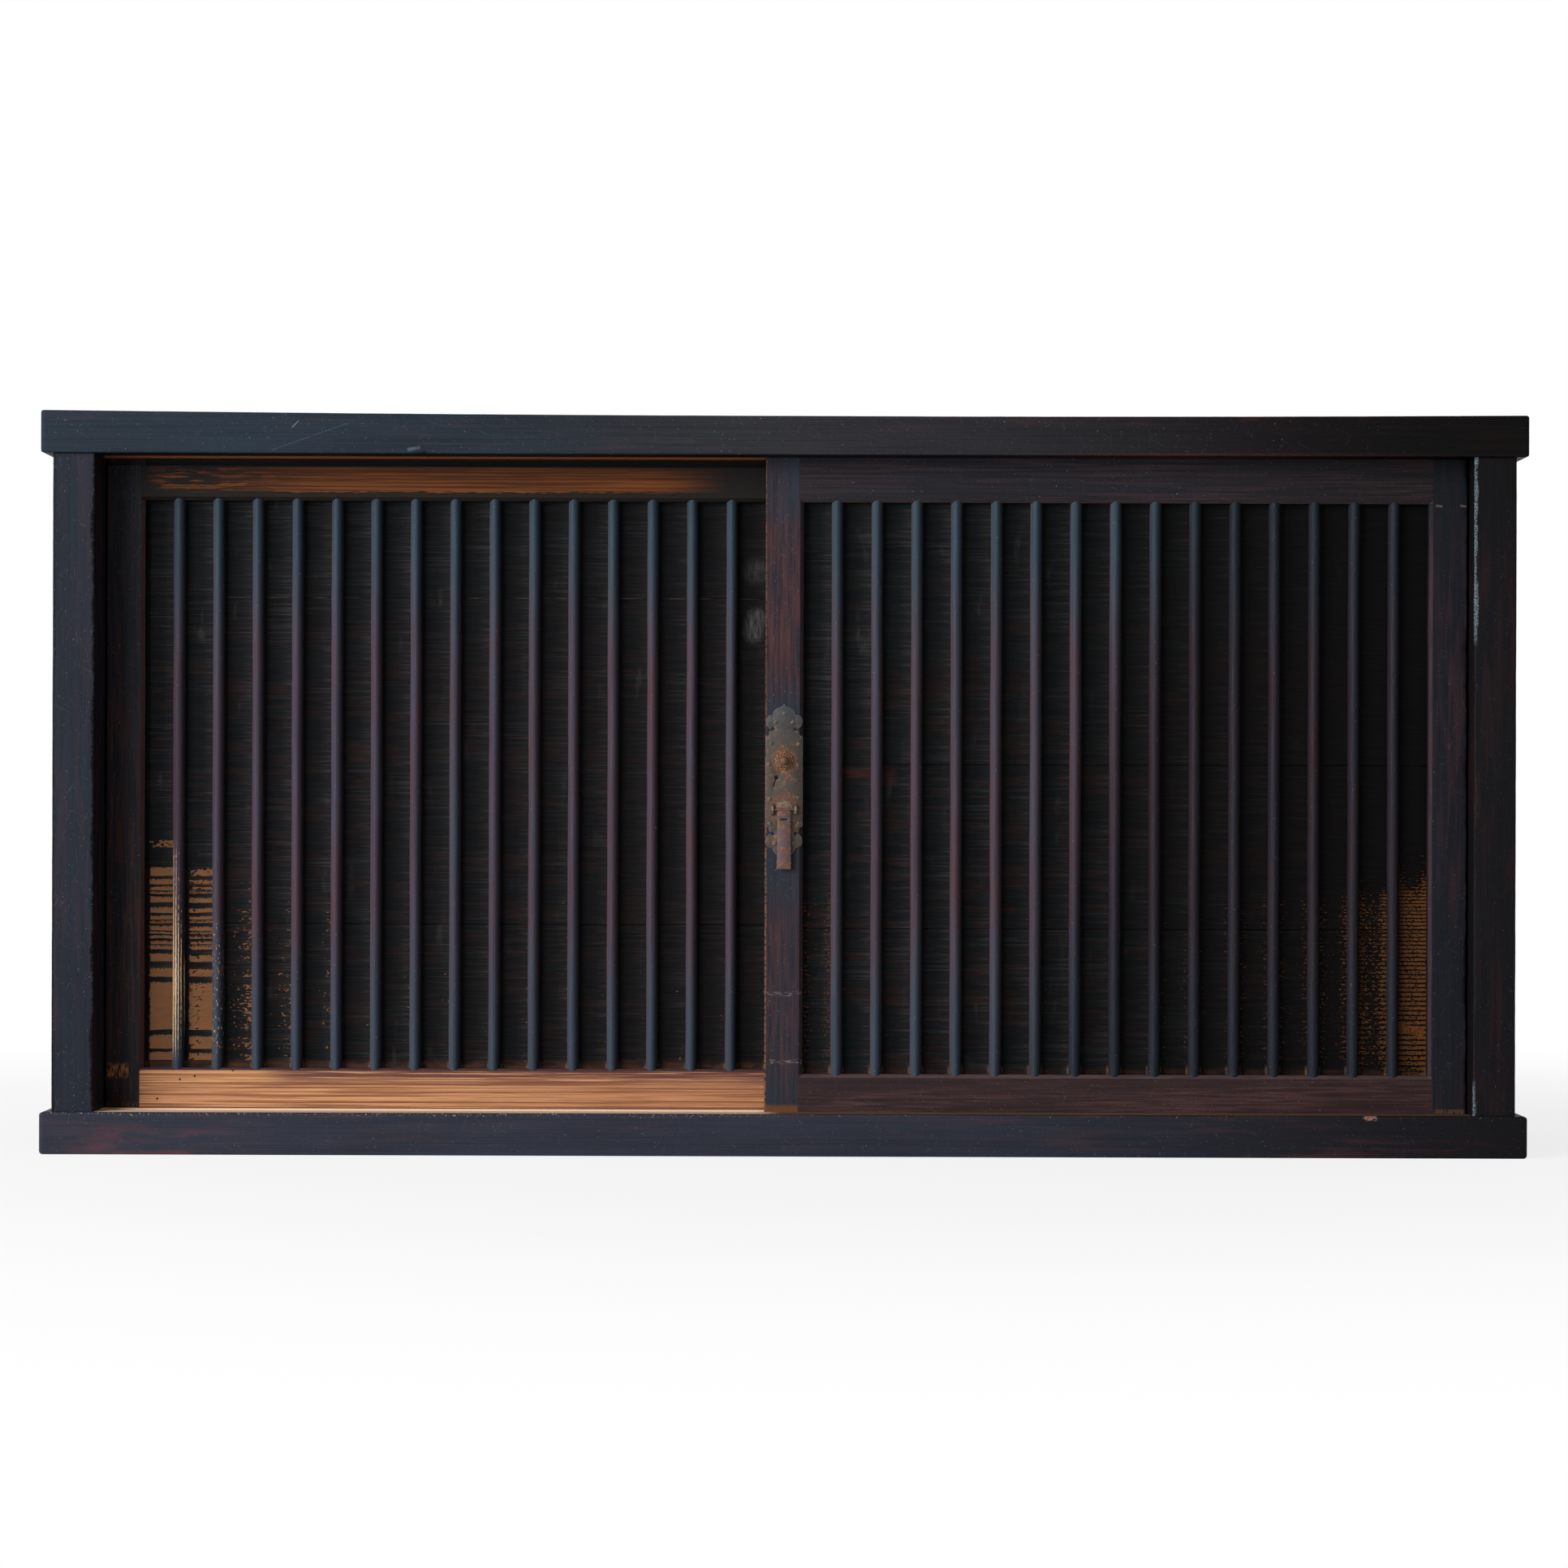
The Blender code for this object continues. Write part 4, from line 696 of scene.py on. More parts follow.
def latticeBar(word, number, seed):
    low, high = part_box(f"{word}_door_bar_{number:02d}")
    stations = spaced(low.z, high.z, 0.012)
    middle = (low.x + high.x) / 2 + wander(stations, seed, door["barWander"])
    half = (high.x - low.x) / 2 * (1 + wander(stations, seed + 500, door["barUneven"]))
    straight = low.y + door["barFlat"] * (high.y - low.y)
    turns = np.linspace(0, math.pi, 17)
    points = [(middle - half * np.cos(t), straight - (straight - low.y) * np.sin(t)) for t in turns]
    points += [(middle + half, high.y), (middle - half, high.y)]
    shape = alongAxis(stations, crossSections(stations, points), "Z")
    return makePiece(f"{word}_bar_{number:02d}", shape, ease=0, smooth=50)


# Finishes
def topWear(colour):
    # Bare orange wood on the ridge between the two door grooves, scuffs on the front face and
    # a red shade along its lower edge
    (_, frontB), (rearA, _) = trackRows()
    ridge = fade("Y", frontB - 0.0002, frontB - 0.001)
    before = fade("Y", rearA - 0.004, rearA)
    under = fade("Z", topUnderside + 0.016, topUnderside + 0.018)
    leftPart = between("X", -postInner, -0.02, 0.002)
    colour = coat(colour, "#7A4526", ridge, before, under, leftPart)
    rag = streaks("X", 0.0012, 0.0016, (0.36, 0.56), 5.0, 3.0)
    front = fade("Y", -0.16, -0.15)
    for start, end, width, tone in (
        ((-0.5225, 0.717), (-0.444, 0.745), 0.0003, "#38424D"),
        ((-0.5018, 0.740), (-0.4951, 0.7468), 0.0004, "#636C75"),
        ((-0.383, 0.7182), (-0.373, 0.7200), 0.0016, "#46515B"),
        ((-0.3676, 0.7150), (-0.3672, 0.7170), 0.0010, "#06080A"),
    ):
        line = stroke(start, end, width * 0.5, width * 1.5)
        colour = coat(colour, tone, line, scaled(rag, 0.1, 1.0), front)
    red = reckon("MULTIPLY", fade("Z", 0.7148, 0.7185), fade("X", 0.4, 0.2))
    return coat(colour, "#3C2422", red, scaled(rag, 0.2, 0.7))


def sillWear(colour):
    # Bare pale wood on the track that the front door has left
    behind = fade("Y", chestLow[1] + 0.0075, chestLow[1] + 0.0045)
    above = fade("Z", baseTop - 0.0025, baseTop - 0.0035)
    inLeft = fade("X", -postInner, -postInner - 0.001)
    inRight = fade("X", postInner, postInner + 0.001)
    bare = coat("#D9BBA2", "#5E4635", fade("X", 0.0, -0.03))
    return coat(colour, bare, behind, above, inLeft, inRight)


def baseWear(colour):
    # Pale chips along the top arris where the doors go in and out, and a reddish patch
    colour = sillWear(colour)
    left = fade("X", -0.1, 0.05)
    right = reckon("SUBTRACT", 1.0, left)
    colour = edgeWear(colour, "#85837D", (0.0018, 0.0010), (0.61, 0.65), left)
    colour = edgeWear(colour, "#6F6058", (0.003, 0.0010), (0.66, 0.69), right)
    chip = between("X", 0.591, 0.6035, 0.0015)
    edge = fade("Z", 0.0395, 0.0375)
    front = fade("Y", chestLow[1] + 0.0035, chestLow[1] + 0.005)
    rag = streaks("X", 0.0014, 0.0035, (0.42, 0.5), 5.0, 2.0)
    colour = coat(colour, "#8A6B5E", chip, edge, front, rag)
    red = streaks("X", 0.016, 0.06, (0.4, 0.62), 6.0, 17.0)
    low = fade("Z", 0.018, 0.036)
    patch = between("X", -0.72, -0.58, 0.06)
    return coat(colour, "#4A3036", scaled(red, 0, 0.9), low, patch)


def leftPostArrisShade(colour):
    # Dark chips on the worn arrises: painted shade where the arris turns away from the light
    return edgeWear(colour, "#0B090A", (0.002, 0.002), (0.35, 0.5))


def rightPostWearAndLight(colour):
    # The inner arris is knocked down to a bluish strip, above and again low down: worn, with a
    # painted highlight where it faces the light
    high = fade("Z", 0.535, 0.52)
    low = between("Z", 0.02, 0.075, 0.006)
    zone = reckon("MAXIMUM", high, low)
    inner = fade("X", 0.7062, 0.7075)
    # Painted shade: the post darkens towards its top, under the top board
    top = scaled(fade("Z", 0.69, 0.6), 0, 0.5)
    colour = coat(colour, "#0A0909", top)
    colour = edgeWear(colour, "#303842", (0.0016, 0.004), (0.36, 0.48), zone, inner)
    return edgeWear(colour, "#93A2AE", (0.0010, 0.0013), (0.47, 0.57), zone, inner)


def meetingStileWear(colour):
    # Rubbed orange-brown down the left arris, and scuffs below the lock
    left = fade("X", -0.0172, -0.0162)
    lower = scaled(fade("Z", 0.3, 0.5), 0.45, 1.0)
    colour = edgeWear(colour, "#6B452F", (0.003, 0.02), (0.4, 0.55), left, lower)
    for height in (0.164, 0.0945):
        band = between("Z", height - 0.002, height + 0.002, 0.0015)
        scuff = streaks("X", 0.0012, 0.006, (0.5, 0.6), 4.0, height * 100)
        colour = coat(colour, "#7A7170", band, scaled(scuff, 0, 0.6))
    foot = fade("Z", 0.047, 0.052)
    return coat(colour, "#5A3A26", foot)


def closingStileWear(colour):
    # Cooler and darker towards the head, with two worn places, and a bare patch at the foot
    head = scaled(fade("Z", 0.70, 0.54), 0, 0.75)
    colour = coat(colour, "#10161A", head)
    for left, right in ((0.6685, 0.6735), (0.6935, 0.698)):
        wornOrLit = stroke((left, 0.6668), (right, 0.6662), 0.0003, 0.0016)
        colour = coat(colour, "#6B5347", scaled(wornOrLit, 0, 0.8))
    foot = between("Z", 0.040, 0.0475, 0.001)
    rag = streaks("Z", 0.002, 0.006, (0.36, 0.5), 4.0, 2.0)
    inside = between("X", 0.668, 0.7, 0.003)
    return coat(colour, "#4E3A2B", foot, rag, inside)


def rearStileWear(colour):
    # A brown rubbed patch near the foot and another where it enters the track
    rag = streaks("Z", 0.0016, 0.008, (0.45, 0.56), 5.0, 2.0)
    patch = between("Z", 0.0745, 0.088, 0.003)
    inside = between("X", -0.7, -0.677, 0.003)
    colour = coat(colour, "#8A5C38", patch, rag, inside)
    foot = fade("Z", 0.045, 0.051)
    return coat(colour, "#4A3020", foot, rag)


# For each stained finish its grain, its own wear (for the posts with painted shade and highlight)
# and what differs from stainedTimber
stainedLooks = {
    "top": ("X", topWear, {
        "hazeAndSheen": "#202B35", "hazeAndSheenFar": "#2A2B2F", "lineDepth": 0.3,
        "flameCover": (0.48, 0.7), "paintedShadeRight": 0.9,
    }),
    "base": ("X", baseWear, {
        "hazeAndSheen": "#2C303B", "hazeAndSheenSpan": (0.0, 0.9), "flameCover": (0.46, 0.68),
    }),
    "left_post": ("Z", leftPostArrisShade, {"hazeAndSheen": "#1C232D", "scratch": 0.14}),
    "right_post": ("Z", rightPostWearAndLight, {
        "hazeAndSheen": "#20242C", "hazeAndSheenSpan": (0.5, 0.9), "flame": "#2E1816", "paintedShadeRight": 0.55,
    }),
    "rear_rail": ("X", None, {"scratch": 0.1}),
    "side_rails": ("Y", None, {"scratch": 0.1}),
    "rear_stile": ("Z", rearStileWear, {
        "ground": "#171313", "hazeAndSheen": "#1B2026", "hazeAndSheenLevel": 0.6, "flame": "#45261C",
        "flameSize": (0.0035, 0.07), "flameCover": (0.42, 0.62), "chamfer": "#35201C",
    }),
    "meeting_stile": ("Z", meetingStileWear, {
        "ground": "#1D181C", "flame": "#583029", "flameSize": (0.0034, 0.05),
        "flameCover": (0.30, 0.72), "flameZones": ((0.47, 0.66, 0.75), (0.07, 0.262, 0.6)),
        "hazeAndSheen": "#272F39", "chamfer": "#2A2226",
    }),
    "closing_stile": ("Z", closingStileWear, {
        "hazeAndSheen": "#20242D", "hazeAndSheenSpan": (0.5, 1.0), "flame": "#38201E",
        "chamfer": "#3B2D30", "paintedShadeRight": 0.25,
    }),
    "rails": ("X", None, {
        "ground": "#181516", "flame": "#342524", "flameSize": (0.0022, 0.09),
        "flameCover": (0.42, 0.62), "hazeAndSheen": "#22262D", "hazeAndSheenLevel": 0.5,
        "hazeAndSheenSpan": (0.1, 1.2), "chamfer": "#32292B", "paintedShadeRight": 0.3, "scratch": 0.07,
    }),
    "low_rail": ("X", None, {
        "ground": "#2D1E1E", "flame": "#4E3632", "flameSize": (0.0018, 0.05),
        "flameCover": (0.35, 0.72), "hazeAndSheen": "#26262B", "hazeAndSheenLevel": 0.3,
        "hazeAndSheenSpan": (0.1, 1.2), "chamfer": "#4A3A3A", "paintedShadeRight": 0.2,
    }),
}
stained = {}
for name, (grain, extra, changes) in stainedLooks.items():
    stained[name] = stainedWood("stained_" + name, grain, changes, extra)


# Half-round bars: blue-grey haze near both ends, reddish purple between, in streaks down
# the bar that differ from bar to bar
barTone = {"blue": "#2C3945", "purple": "#3C2F3A", "red": "#442A2B", "dark": "#0F0B0E"}


def barWood(name, extra=None):
    material, shader = newMaterial(name)
    fibres = streaks("Z", 0.0007, 0.04, (0.3, 0.7), 5.0)
    fine = streaks("Z", 0.0022, 0.14, (0.40, 0.62), 5.0, 4.0)
    each = streaks("Z", 0.034, 0.25, (0.38, 0.62), 5.0, 9.0)
    redder = streaks("Z", 0.0035, 0.11, (0.48, 0.68), 5.0, 1.0)
    ends = reckon("MAXIMUM", fade("Z", 0.65, 0.5), fade("Z", 0.12, 0.26))
    colour = coat(barTone["purple"], barTone["red"], redder)
    middle = coat(colour, barTone["blue"], fine, scaled(each, 0.15, 0.9))
    colour = coat(middle, barTone["blue"], ends, scaled(fine, 0.8, 1.0))
    head = scaled(fade("Z", 0.66, 0.5), 0, 0.75)
    colour = coat(colour, "#243742", head)
    # Painted shade on the side of each bar turned away from the light
    shadedSide = step(facing("X"), -0.5, 0.7)
    colour = coat(colour, barTone["dark"], scaled(shadedSide, 0, 0.62))
    # Painted highlight on the side of each bar that faces the light
    lit = step(facing("X"), -0.6, -0.9)
    colour = coat(colour, "#523F43", scaled(lit, 0, 0.4))
    lines = streaks("Z", 0.0009, 0.2, (0.5, 0.64), 3.0, 8.0)
    colour = coat(colour, "#151015", scaled(lines, 0, 0.35))
    # Painted shade: the far bars are darker, beyond a line that comes nearer the middle at the foot
    beyond = reckon("MULTIPLY_ADD", spot("Z"), -0.25, spot("X"))
    right = step(beyond, 0.165, 0.295)
    colour = coat(colour, "#040406", scaled(right, 0, 0.72))
    specks = streaks("Z", 0.001, 0.0018, (0.755, 0.785), 1.0, 5.0)
    colour = coat(colour, "#716D6C", specks)
    if extra:
        colour = extra(colour)
    woodSurface(shader, colour, fibres, 0.00012, (0.42, 0.58), 0.08)
    return material


def rubbedRings(colour):
    # The first bar is rubbed through along its growth rings, 2.7 mm apart, in full lines at
    # the left and beads further right
    low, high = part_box("left_door_bar_01")
    across = reckon("SUBTRACT", spot("X"), low.x)
    slow = scaled(grainNoise("Z", 0.02, 0.05, 2.0, 3.0), -0.0004, 0.0004)
    ring = reckon("PINGPONG", reckon("ADD", across, slow), 0.00135)
    beads = grainNoise("Z", 0.0011, 0.0045, 4.0, 3.0)
    level = reckon("MULTIPLY_ADD", ring, 740.0, beads)
    level = reckon("MULTIPLY_ADD", across, -48.0, level)
    ends = reckon("SUBTRACT", 1.0, between("Z", 0.125, 0.225, 0.07))
    level = reckon("MULTIPLY_ADD", ends, -0.55, level)
    pale = step(level, 0.62, 0.74)
    reach = between("Z", 0.1, 0.31, 0.012)
    return coat(colour, "#BE9E76", pale, reach)


def rubbedBeads(colour):
    # The second bar only has short pale beads
    beads = streaks("Z", 0.0010, 0.004, (0.62, 0.66), 5.0, 6.0)
    reach = between("Z", 0.1, 0.23, 0.012)
    return coat(colour, "#A98C6C", beads, reach)


barFinish = barWood("stained_bars")
firstBarFinish = barWood("rubbed_first_bar", rubbedRings)
secondBarFinish = barWood("rubbed_second_bar", rubbedBeads)


def bareRail(name, layers, wood="#C28D64", line="#653B25"):
    # Stain rubbed off by hands and dust: pale early wood between orange-brown ring lines
    material, shader = newMaterial(name)
    fibres = streaks("X", 0.0006, 0.05, (0.3, 0.7), 5.0)
    rings = streaks("X", 0.0012, 0.3, (0.49, 0.57), 3.0, 2.0, 0.2)
    broad = streaks("X", 0.009, 0.3, (0.3, 0.7), 4.0, 4.0)
    colour = coat(wood, line, scaled(rings, 0, 0.8))
    colour = layers(coat(colour, line, fibres, scaled(broad, 0.1, 0.5)))
    woodSurface(shader, colour, fibres, 0.0001, (0.6, 0.75), 0.12)
    return material


# Places of the old worm holes in the rear door's bottom rail: across and up, in metres
wormHoles = ((-0.6081, 0.0760), (-0.6233, 0.0726), (-0.5686, 0.0819), (-0.6468, 0.0524))


def bottomRailLayers(colour):
    # Stain left along the upper half, and a purple-brown chamfer
    patches = streaks("X", 0.0012, 0.07, (0.36, 0.54), 7.0, 6.0)
    upper = scaled(fade("Z", 0.081, 0.060), 0, 0.9)
    right = fade("X", -0.50, -0.555)
    duller = scaled(fade("X", -0.1, -0.5), 0, 0.3)
    colour = coat(colour, "#83543F", duller)
    colour = coat(colour, "#46282A", patches, upper, right)
    fine = streaks("X", 0.0007, 0.12, (0.5, 0.6), 3.0, 16.0)
    lower = scaled(fade("Z", 0.058, 0.07), 0.15, 0.7)
    colour = coat(colour, "#6E3F26", fine, lower)
    for hole in wormHoles:
        colour = coat(colour, "#0C0808", dot(hole, 0.0009, 0.0013))
    chamfer = fade("Z", 0.0823, 0.0813)
    return coat(colour, "#3C2829", chamfer)


def topRailLayers(colour):
    # The stain holds at both ends and in a chipped strip along the lower edge
    patches = streaks("X", 0.0012, 0.09, (0.46, 0.62), 8.0, 8.0, 0.4)
    upper = scaled(fade("Z", 0.703, 0.686), 0.25, 0.8)
    colour = coat(colour, "#351B0E", patches, upper)
    shade = scaled(fade("Z", 0.705, 0.688), 0, 0.5)
    colour = coat(colour, "#3A1F0E", shade)
    figure = streaks("X", 0.0021, 0.2, (0.46, 0.6), 5.0, 30.0, 0.3)
    colour = coat(colour, "#341A0C", scaled(figure, 0, 0.8))
    ragged = streaks("X", 0.0026, 0.03, (0.43, 0.5), 6.0, 1.0)
    uneven = scaled(grainNoise("X", 0.0014, 0.016, 7.0, 3.0), -0.005, 0.005)
    height = reckon("ADD", spot("Z"), uneven)
    colour = coat(colour, "#16120F", step(height, 0.6805, 0.6795))
    leftEnd = reckon("MULTIPLY", fade("X", -0.62, -0.46), ragged)
    colour = coat(colour, "#120E0D", leftEnd)
    colour = coat(colour, "#120E0D", fade("X", -0.665, -0.63))
    colour = coat(colour, "#141010", fade("X", -0.05, -0.15))
    # Painted shade: the tongue that rises into the top's groove is painted near black
    return coat(colour, "#080606", fade("Z", 0.7065, 0.7045))


bottomRailFinish = bareRail("bare_bottom_rail", bottomRailLayers)
topRailFinish = bareRail("bare_top_rail", topRailLayers, "#703D18", "#3E210D")


def boardFinish(name, tone, wear):
    # Thin cedar boards under a soaked-in black stain: fine lines a shade lighter, reddish
    # where the stain is thin, no lacquer
    material, shader = newMaterial(name)
    fibres = streaks("X", 0.0010, 0.07, (0.3, 0.7), 5.0)
    bands = streaks("X", 0.006, 0.3, (0.35, 0.65), 6.0, 2.0)
    lines = streaks("X", 0.0017, 0.07, (0.5, 0.64), 4.0, 3.0, 0.3)
    where = streaks("X", 0.035, 0.12, (0.42, 0.6), 4.0, 12.0)
    flames = streaks("X", 0.0035, 0.045, (0.52, 0.66), 6.0, 6.0, 0.6)
    reds = streaks("X", 0.022, 0.06, (0.5, 0.62), 3.0, 16.0, 0.5)
    dust = streaks("Z", 0.012, 0.05, (0.6, 0.75), 4.0, 19.0)
    colour = coat(tone["ground"], tone["band"], bands)
    colour = coat(colour, tone["line"], lines, scaled(where, 0.1, 0.8))
    low = scaled(fade("Z", 0.47, 0.62), 0.15, 1.0)
    colour = coat(colour, tone["flame"], flames, low, scaled(where, 0.1, 0.5))
    colour = coat(colour, tone["flame"], reds, low, scaled(bands, 0.1, 0.45))
    colour = coat(colour, "#3A3B3A", scaled(dust, 0, 0.35), where)
    share = gapShare(tone["word"])
    # Painted shadow of each bar on the boards just right of it
    colour = coat(colour, "#040404", scaled(step(share, 0.6, 0.3), 0, 0.35))
    # Painted light: each gap grows lighter towards the left side of the next bar
    wornOrLit = coat("#1E1E20", "#33302F", lines)
    colour = coat(colour, wornOrLit, scaled(step(share, 0.5, 0.9), 0, 0.7))
    # Painted shade: the boards darken towards the right, where the key light falls off
    far = fade("X", *tone["paintedShadeSpan"])
    colour = coat(colour, tone["far"], scaled(far, 0, tone["paintedShadeLevel"]))
    seam = doorFacts[tone["word"]]["seams"][1]
    joint = between("Z", seam - 0.0004, seam + 0.0004, 0.0003)
    broken = streaks("X", 0.01, 0.03, (0.45, 0.6), 5.0, 27.0)
    colour = coat(colour, tone["seam"], joint, scaled(broken, 0.1, 0.9))
    foot = streaks("X", 0.006, 0.02, (0.3, 0.7), 5.0, 22.0)
    rise = fade("Z", 0.084, 0.084 + tone["footHeight"])
    colour = coat(colour, tone["foot"], rise, scaled(foot, 0.1, 0.8))
    nearBar = step(reckon("PINGPONG", share, 0.5), 0.22, 0.16)
    dusty = fade("Z", 0.085, 0.093)
    colour = coat(colour, "#6A5344", nearBar, dusty, scaled(foot, 0.3, 0.9))
    colour = wear(colour)
    woodSurface(shader, colour, fibres, 0.0003, (0.5, 0.7), 0.04)
    return material


def barMiddles(word):
    # The middle of the first bar and the distance from bar to bar
    first, second = (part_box(f"{word}_door_bar_{n:02d}") for n in (1, 2))
    return (first[0].x + first[1].x) / 2, second[0].x - first[0].x


def gapShare(word):
    # 0 at the middle of a bar, rising to 1 at the middle of the next one
    first, pitch = barMiddles(word)
    start = reckon("SUBTRACT", spot("X"), first)
    return reckon("FRACT", reckon("DIVIDE", start, pitch))


def changingLevel(value, low, high, first, changes):
    # The level first from low on, and then the level given with each place on the way to high
    ramp = add("ValToRGB", {"Fac": mapped(value, (low, high))})
    ramp.color_ramp.interpolation = "CONSTANT"
    stops = ramp.color_ramp.elements
    stops.remove(stops[1])
    stops[0].color = (first, first, first, 1)
    for place, level in changes:
        stops.new((place - low) / (high - low)).color = (level, level, level, 1)
    return ramp.outputs["Color"]


def gapLevels(word, levels):
    # One level for each gap, named by the number of the bar on its left. They change behind
    # the bars, where nobody sees it.
    first, pitch = barMiddles(word)
    changes = [(first + (number - 1) * pitch, level) for number, level in levels[1:]]
    return changingLevel(spot("X"), first - 20 * pitch, first + 20 * pitch, levels[0][1], changes)


# Heights in millimetres between which the left boards' foot is rubbed bare. The hard late
# wood keeps its stain between them: it lies close together above and far apart below.
rubbedBands = (
    (311.5, 319.0), (282.2, 291.3), (273.5, 279.3), (267.7, 271.9), (263.8, 266.4),
    (254.8, 261.2), (244.4, 250.2), (237.3, 241.8), (232.9, 236.1), (225.7, 230.8),
    (221.9, 224.4), (217.0, 220.2), (211.5, 215.4), (205.7, 210.2), (193.4, 201.5),
    (177.9, 187.3), (122.3, 172.4), (103.0, 117.9), (91.7, 100.0),
)


def rubbedAt(height):
    # 1 inside the rubbed bands and 0 between them. One ramp has room for half of them.
    halves = []
    for bands in (rubbedBands[:10], rubbedBands[10:]):
        changes = [(end / 1000, level) for band in bands for end, level in zip(band, (1, 0))]
        low, high = (bands[-1][0] - 1) / 1000, (bands[0][1] + 1) / 1000
        halves.append(changingLevel(height, low, high, 0, changes))
    return reckon("MAXIMUM", *halves)


# How far each gap is rubbed, from the post inwards: 0.5 is half of it
leftRub = ((0, 0.80), (1, 0.59), (2, 0.35), (3, 0.30), (4, 0.27), (5, 0.2))


def leftBoardWear(colour):
    # Each band is clean below, at its late wood, and ragged above: a place belongs to it if
    # both its own height and its height with the raggedness added lie between the limits
    slow = scaled(grainNoise("X", 0.012, 0.03, 3.0, 15.0), -0.0016, 0.0016)
    height = reckon("ADD", spot("Z"), slow)
    rag = grainNoise("X", 0.0014, 0.0020, 6.0, 15.0)
    bite = reckon("MAXIMUM", scaled(rag, -0.0032, 0.0042), 0.0)
    level = gapLevels("left", leftRub)
    bite = reckon("ADD", bite, reckon("MULTIPLY_ADD", level, -0.005, 0.004))
    ragged = reckon("ADD", height, bite)
    bands = reckon("MINIMUM", rubbedAt(height), rubbedAt(ragged))
    beside = scaled(step(gapShare("left"), 0.4, 0.85), 0, 0.13)
    level = reckon("ADD", level, beside)
    level = reckon("SUBTRACT", level, scaled(fade("Z", 0.31, 0.23), 0, 0.13))
    level = reckon("SUBTRACT", level, scaled(fade("Z", 0.31, 0.3), 0, 0.2))
    blots = grainNoise("X", 0.0024, 0.0042, 8.0, 5.0)
    rubbed = step(reckon("ADD", level, blots), 0.985, 1.015)
    edge = reckon("MULTIPLY_ADD", blots, 0.12, gapShare("left"))
    rubbed = reckon("MULTIPLY", rubbed, step(edge, 0.30, 0.33))
    tint = streaks("X", 0.0025, 0.008, (0.3, 0.7), 6.0)
    bare = coat("#6E462C", "#5F4631", tint)
    smudge = stroke((-0.032, 0.536), (-0.029, 0.552), 0.003, 0.014)
    smudge = reckon("MAXIMUM", smudge, scaled(dot((-0.029, 0.6), 0.002, 0.02), 0, 0.5))
    weave = streaks("Z", 0.002, 0.012, (0.3, 0.7), 6.0, 23.0)
    colour = coat(colour, "#48494A", smudge, scaled(weave, 0.1, 0.8))
    return coat(colour, bare, bands, rubbed)


# The same for the right boards, counted from their first bar
rightRub = ((0, 0.33), (1, 0.22), (9, 0.26), (11, 0.29), (13, 0.33), (14, 0.425), (15, 0.565))


def rightBoardWear(colour):
    # The rings' bands widen from 3.4 to 5.5 mm going down: their count up to a height h is
    # -ln(width(h)) over the change in width
    rag = grainNoise("X", 0.0016, 0.0018, 6.0, 25.0)
    height = reckon("ADD", spot("Z"), scaled(rag, -0.0013, 0.0013))
    width = reckon("MULTIPLY_ADD", height, -0.011, 0.0065)
    count = reckon("MULTIPLY", reckon("LOGARITHM", width, math.e), 90.9)
    late = reckon("PINGPONG", count, 0.5)
    blotch = stroke((0.634, 0.131), (0.656, 0.126), 0.0035, 0.0048)
    blotch = reckon("MAXIMUM", blotch, stroke((0.597, 0.142), (0.609, 0.132), 0.002, 0.004))
    lines = reckon("MAXIMUM", step(late, 0.15, 0.22), blotch)
    breaks = streaks("Z", 0.0011, 0.012, (0.64, 0.6), 5.0, 8.0)
    share = gapShare("right")
    beside = step(reckon("PINGPONG", share, 0.5), 0.4, 0.2)
    level = gapLevels("right", rightRub)
    level = reckon("MULTIPLY_ADD", beside, 0.11, level)
    drop = fade("Z", 0.30, 0.255)
    foot = fade("Z", 0.085, 0.105)
    level = reckon("MULTIPLY_ADD", drop, -0.3, level)
    level = reckon("MULTIPLY_ADD", fade("Z", 0.325, 0.305), -0.3, level)
    level = reckon("MULTIPLY_ADD", foot, -0.1, level)
    blots = grainNoise("X", 0.0013, 0.0034, 6.0, 5.0)
    rubbed = step(reckon("ADD", level, blots), 0.98, 1.02)
    flare = stroke((0.066, 0.392), (0.108, 0.387), 0.001, 0.014)
    grain = streaks("X", 0.0032, 0.03, (0.4, 0.6), 6.0, 31.0)
    colour = coat(colour, "#301813", scaled(flare, 0, 0.8), grain)
    return coat(colour, "#54331A", lines, rubbed, breaks)


leftTone = {
    "word": "left", "ground": "#080A0C", "band": "#0C0F11", "line": "#1F1F21",
    "flame": "#281512", "far": "#0D0B0C", "paintedShadeSpan": (0.1, -0.72), "paintedShadeLevel": 0.5,
    "foot": "#4A2F22", "footHeight": 0.012, "seam": "#55493F",
}
rightTone = {
    "word": "right", "ground": "#080B0D", "band": "#0D1112", "line": "#1D2022",
    "flame": "#2A1411", "far": "#050404", "paintedShadeSpan": (0.7, 0.0), "paintedShadeLevel": 1.0,
    "foot": "#2A1C16", "footHeight": 0.006, "seam": "#17110F",
}
leftBoards = boardFinish("stained_left_boards", leftTone, leftBoardWear)
rightBoards = boardFinish("stained_right_boards", rightTone, rightBoardWear)


def cedarColour(grain):
    rings = streaks(grain, 0.0024, 0.5, (0.48, 0.6), 3.0, 6.0, 0.2)
    broad = streaks(grain, 0.03, 0.4, (0.35, 0.65), 4.0, 4.0)
    colour = coat("#8E6F55", "#6A4C38", rings)
    return coat(colour, "#7C5E49", broad)


def cedarFinish(name, grain, extra=None):
    # Sawn cedar that never had any finish, browned by age
    material, shader = newMaterial(name)
    fibres = streaks(grain, 0.001, 0.05, (0.3, 0.7), 5.0)
    colour = cedarColour(grain)
    if extra:
        colour = extra(colour)
    woodSurface(shader, colour, fibres, 0.0001, (0.65, 0.8), 0.25)
    return material


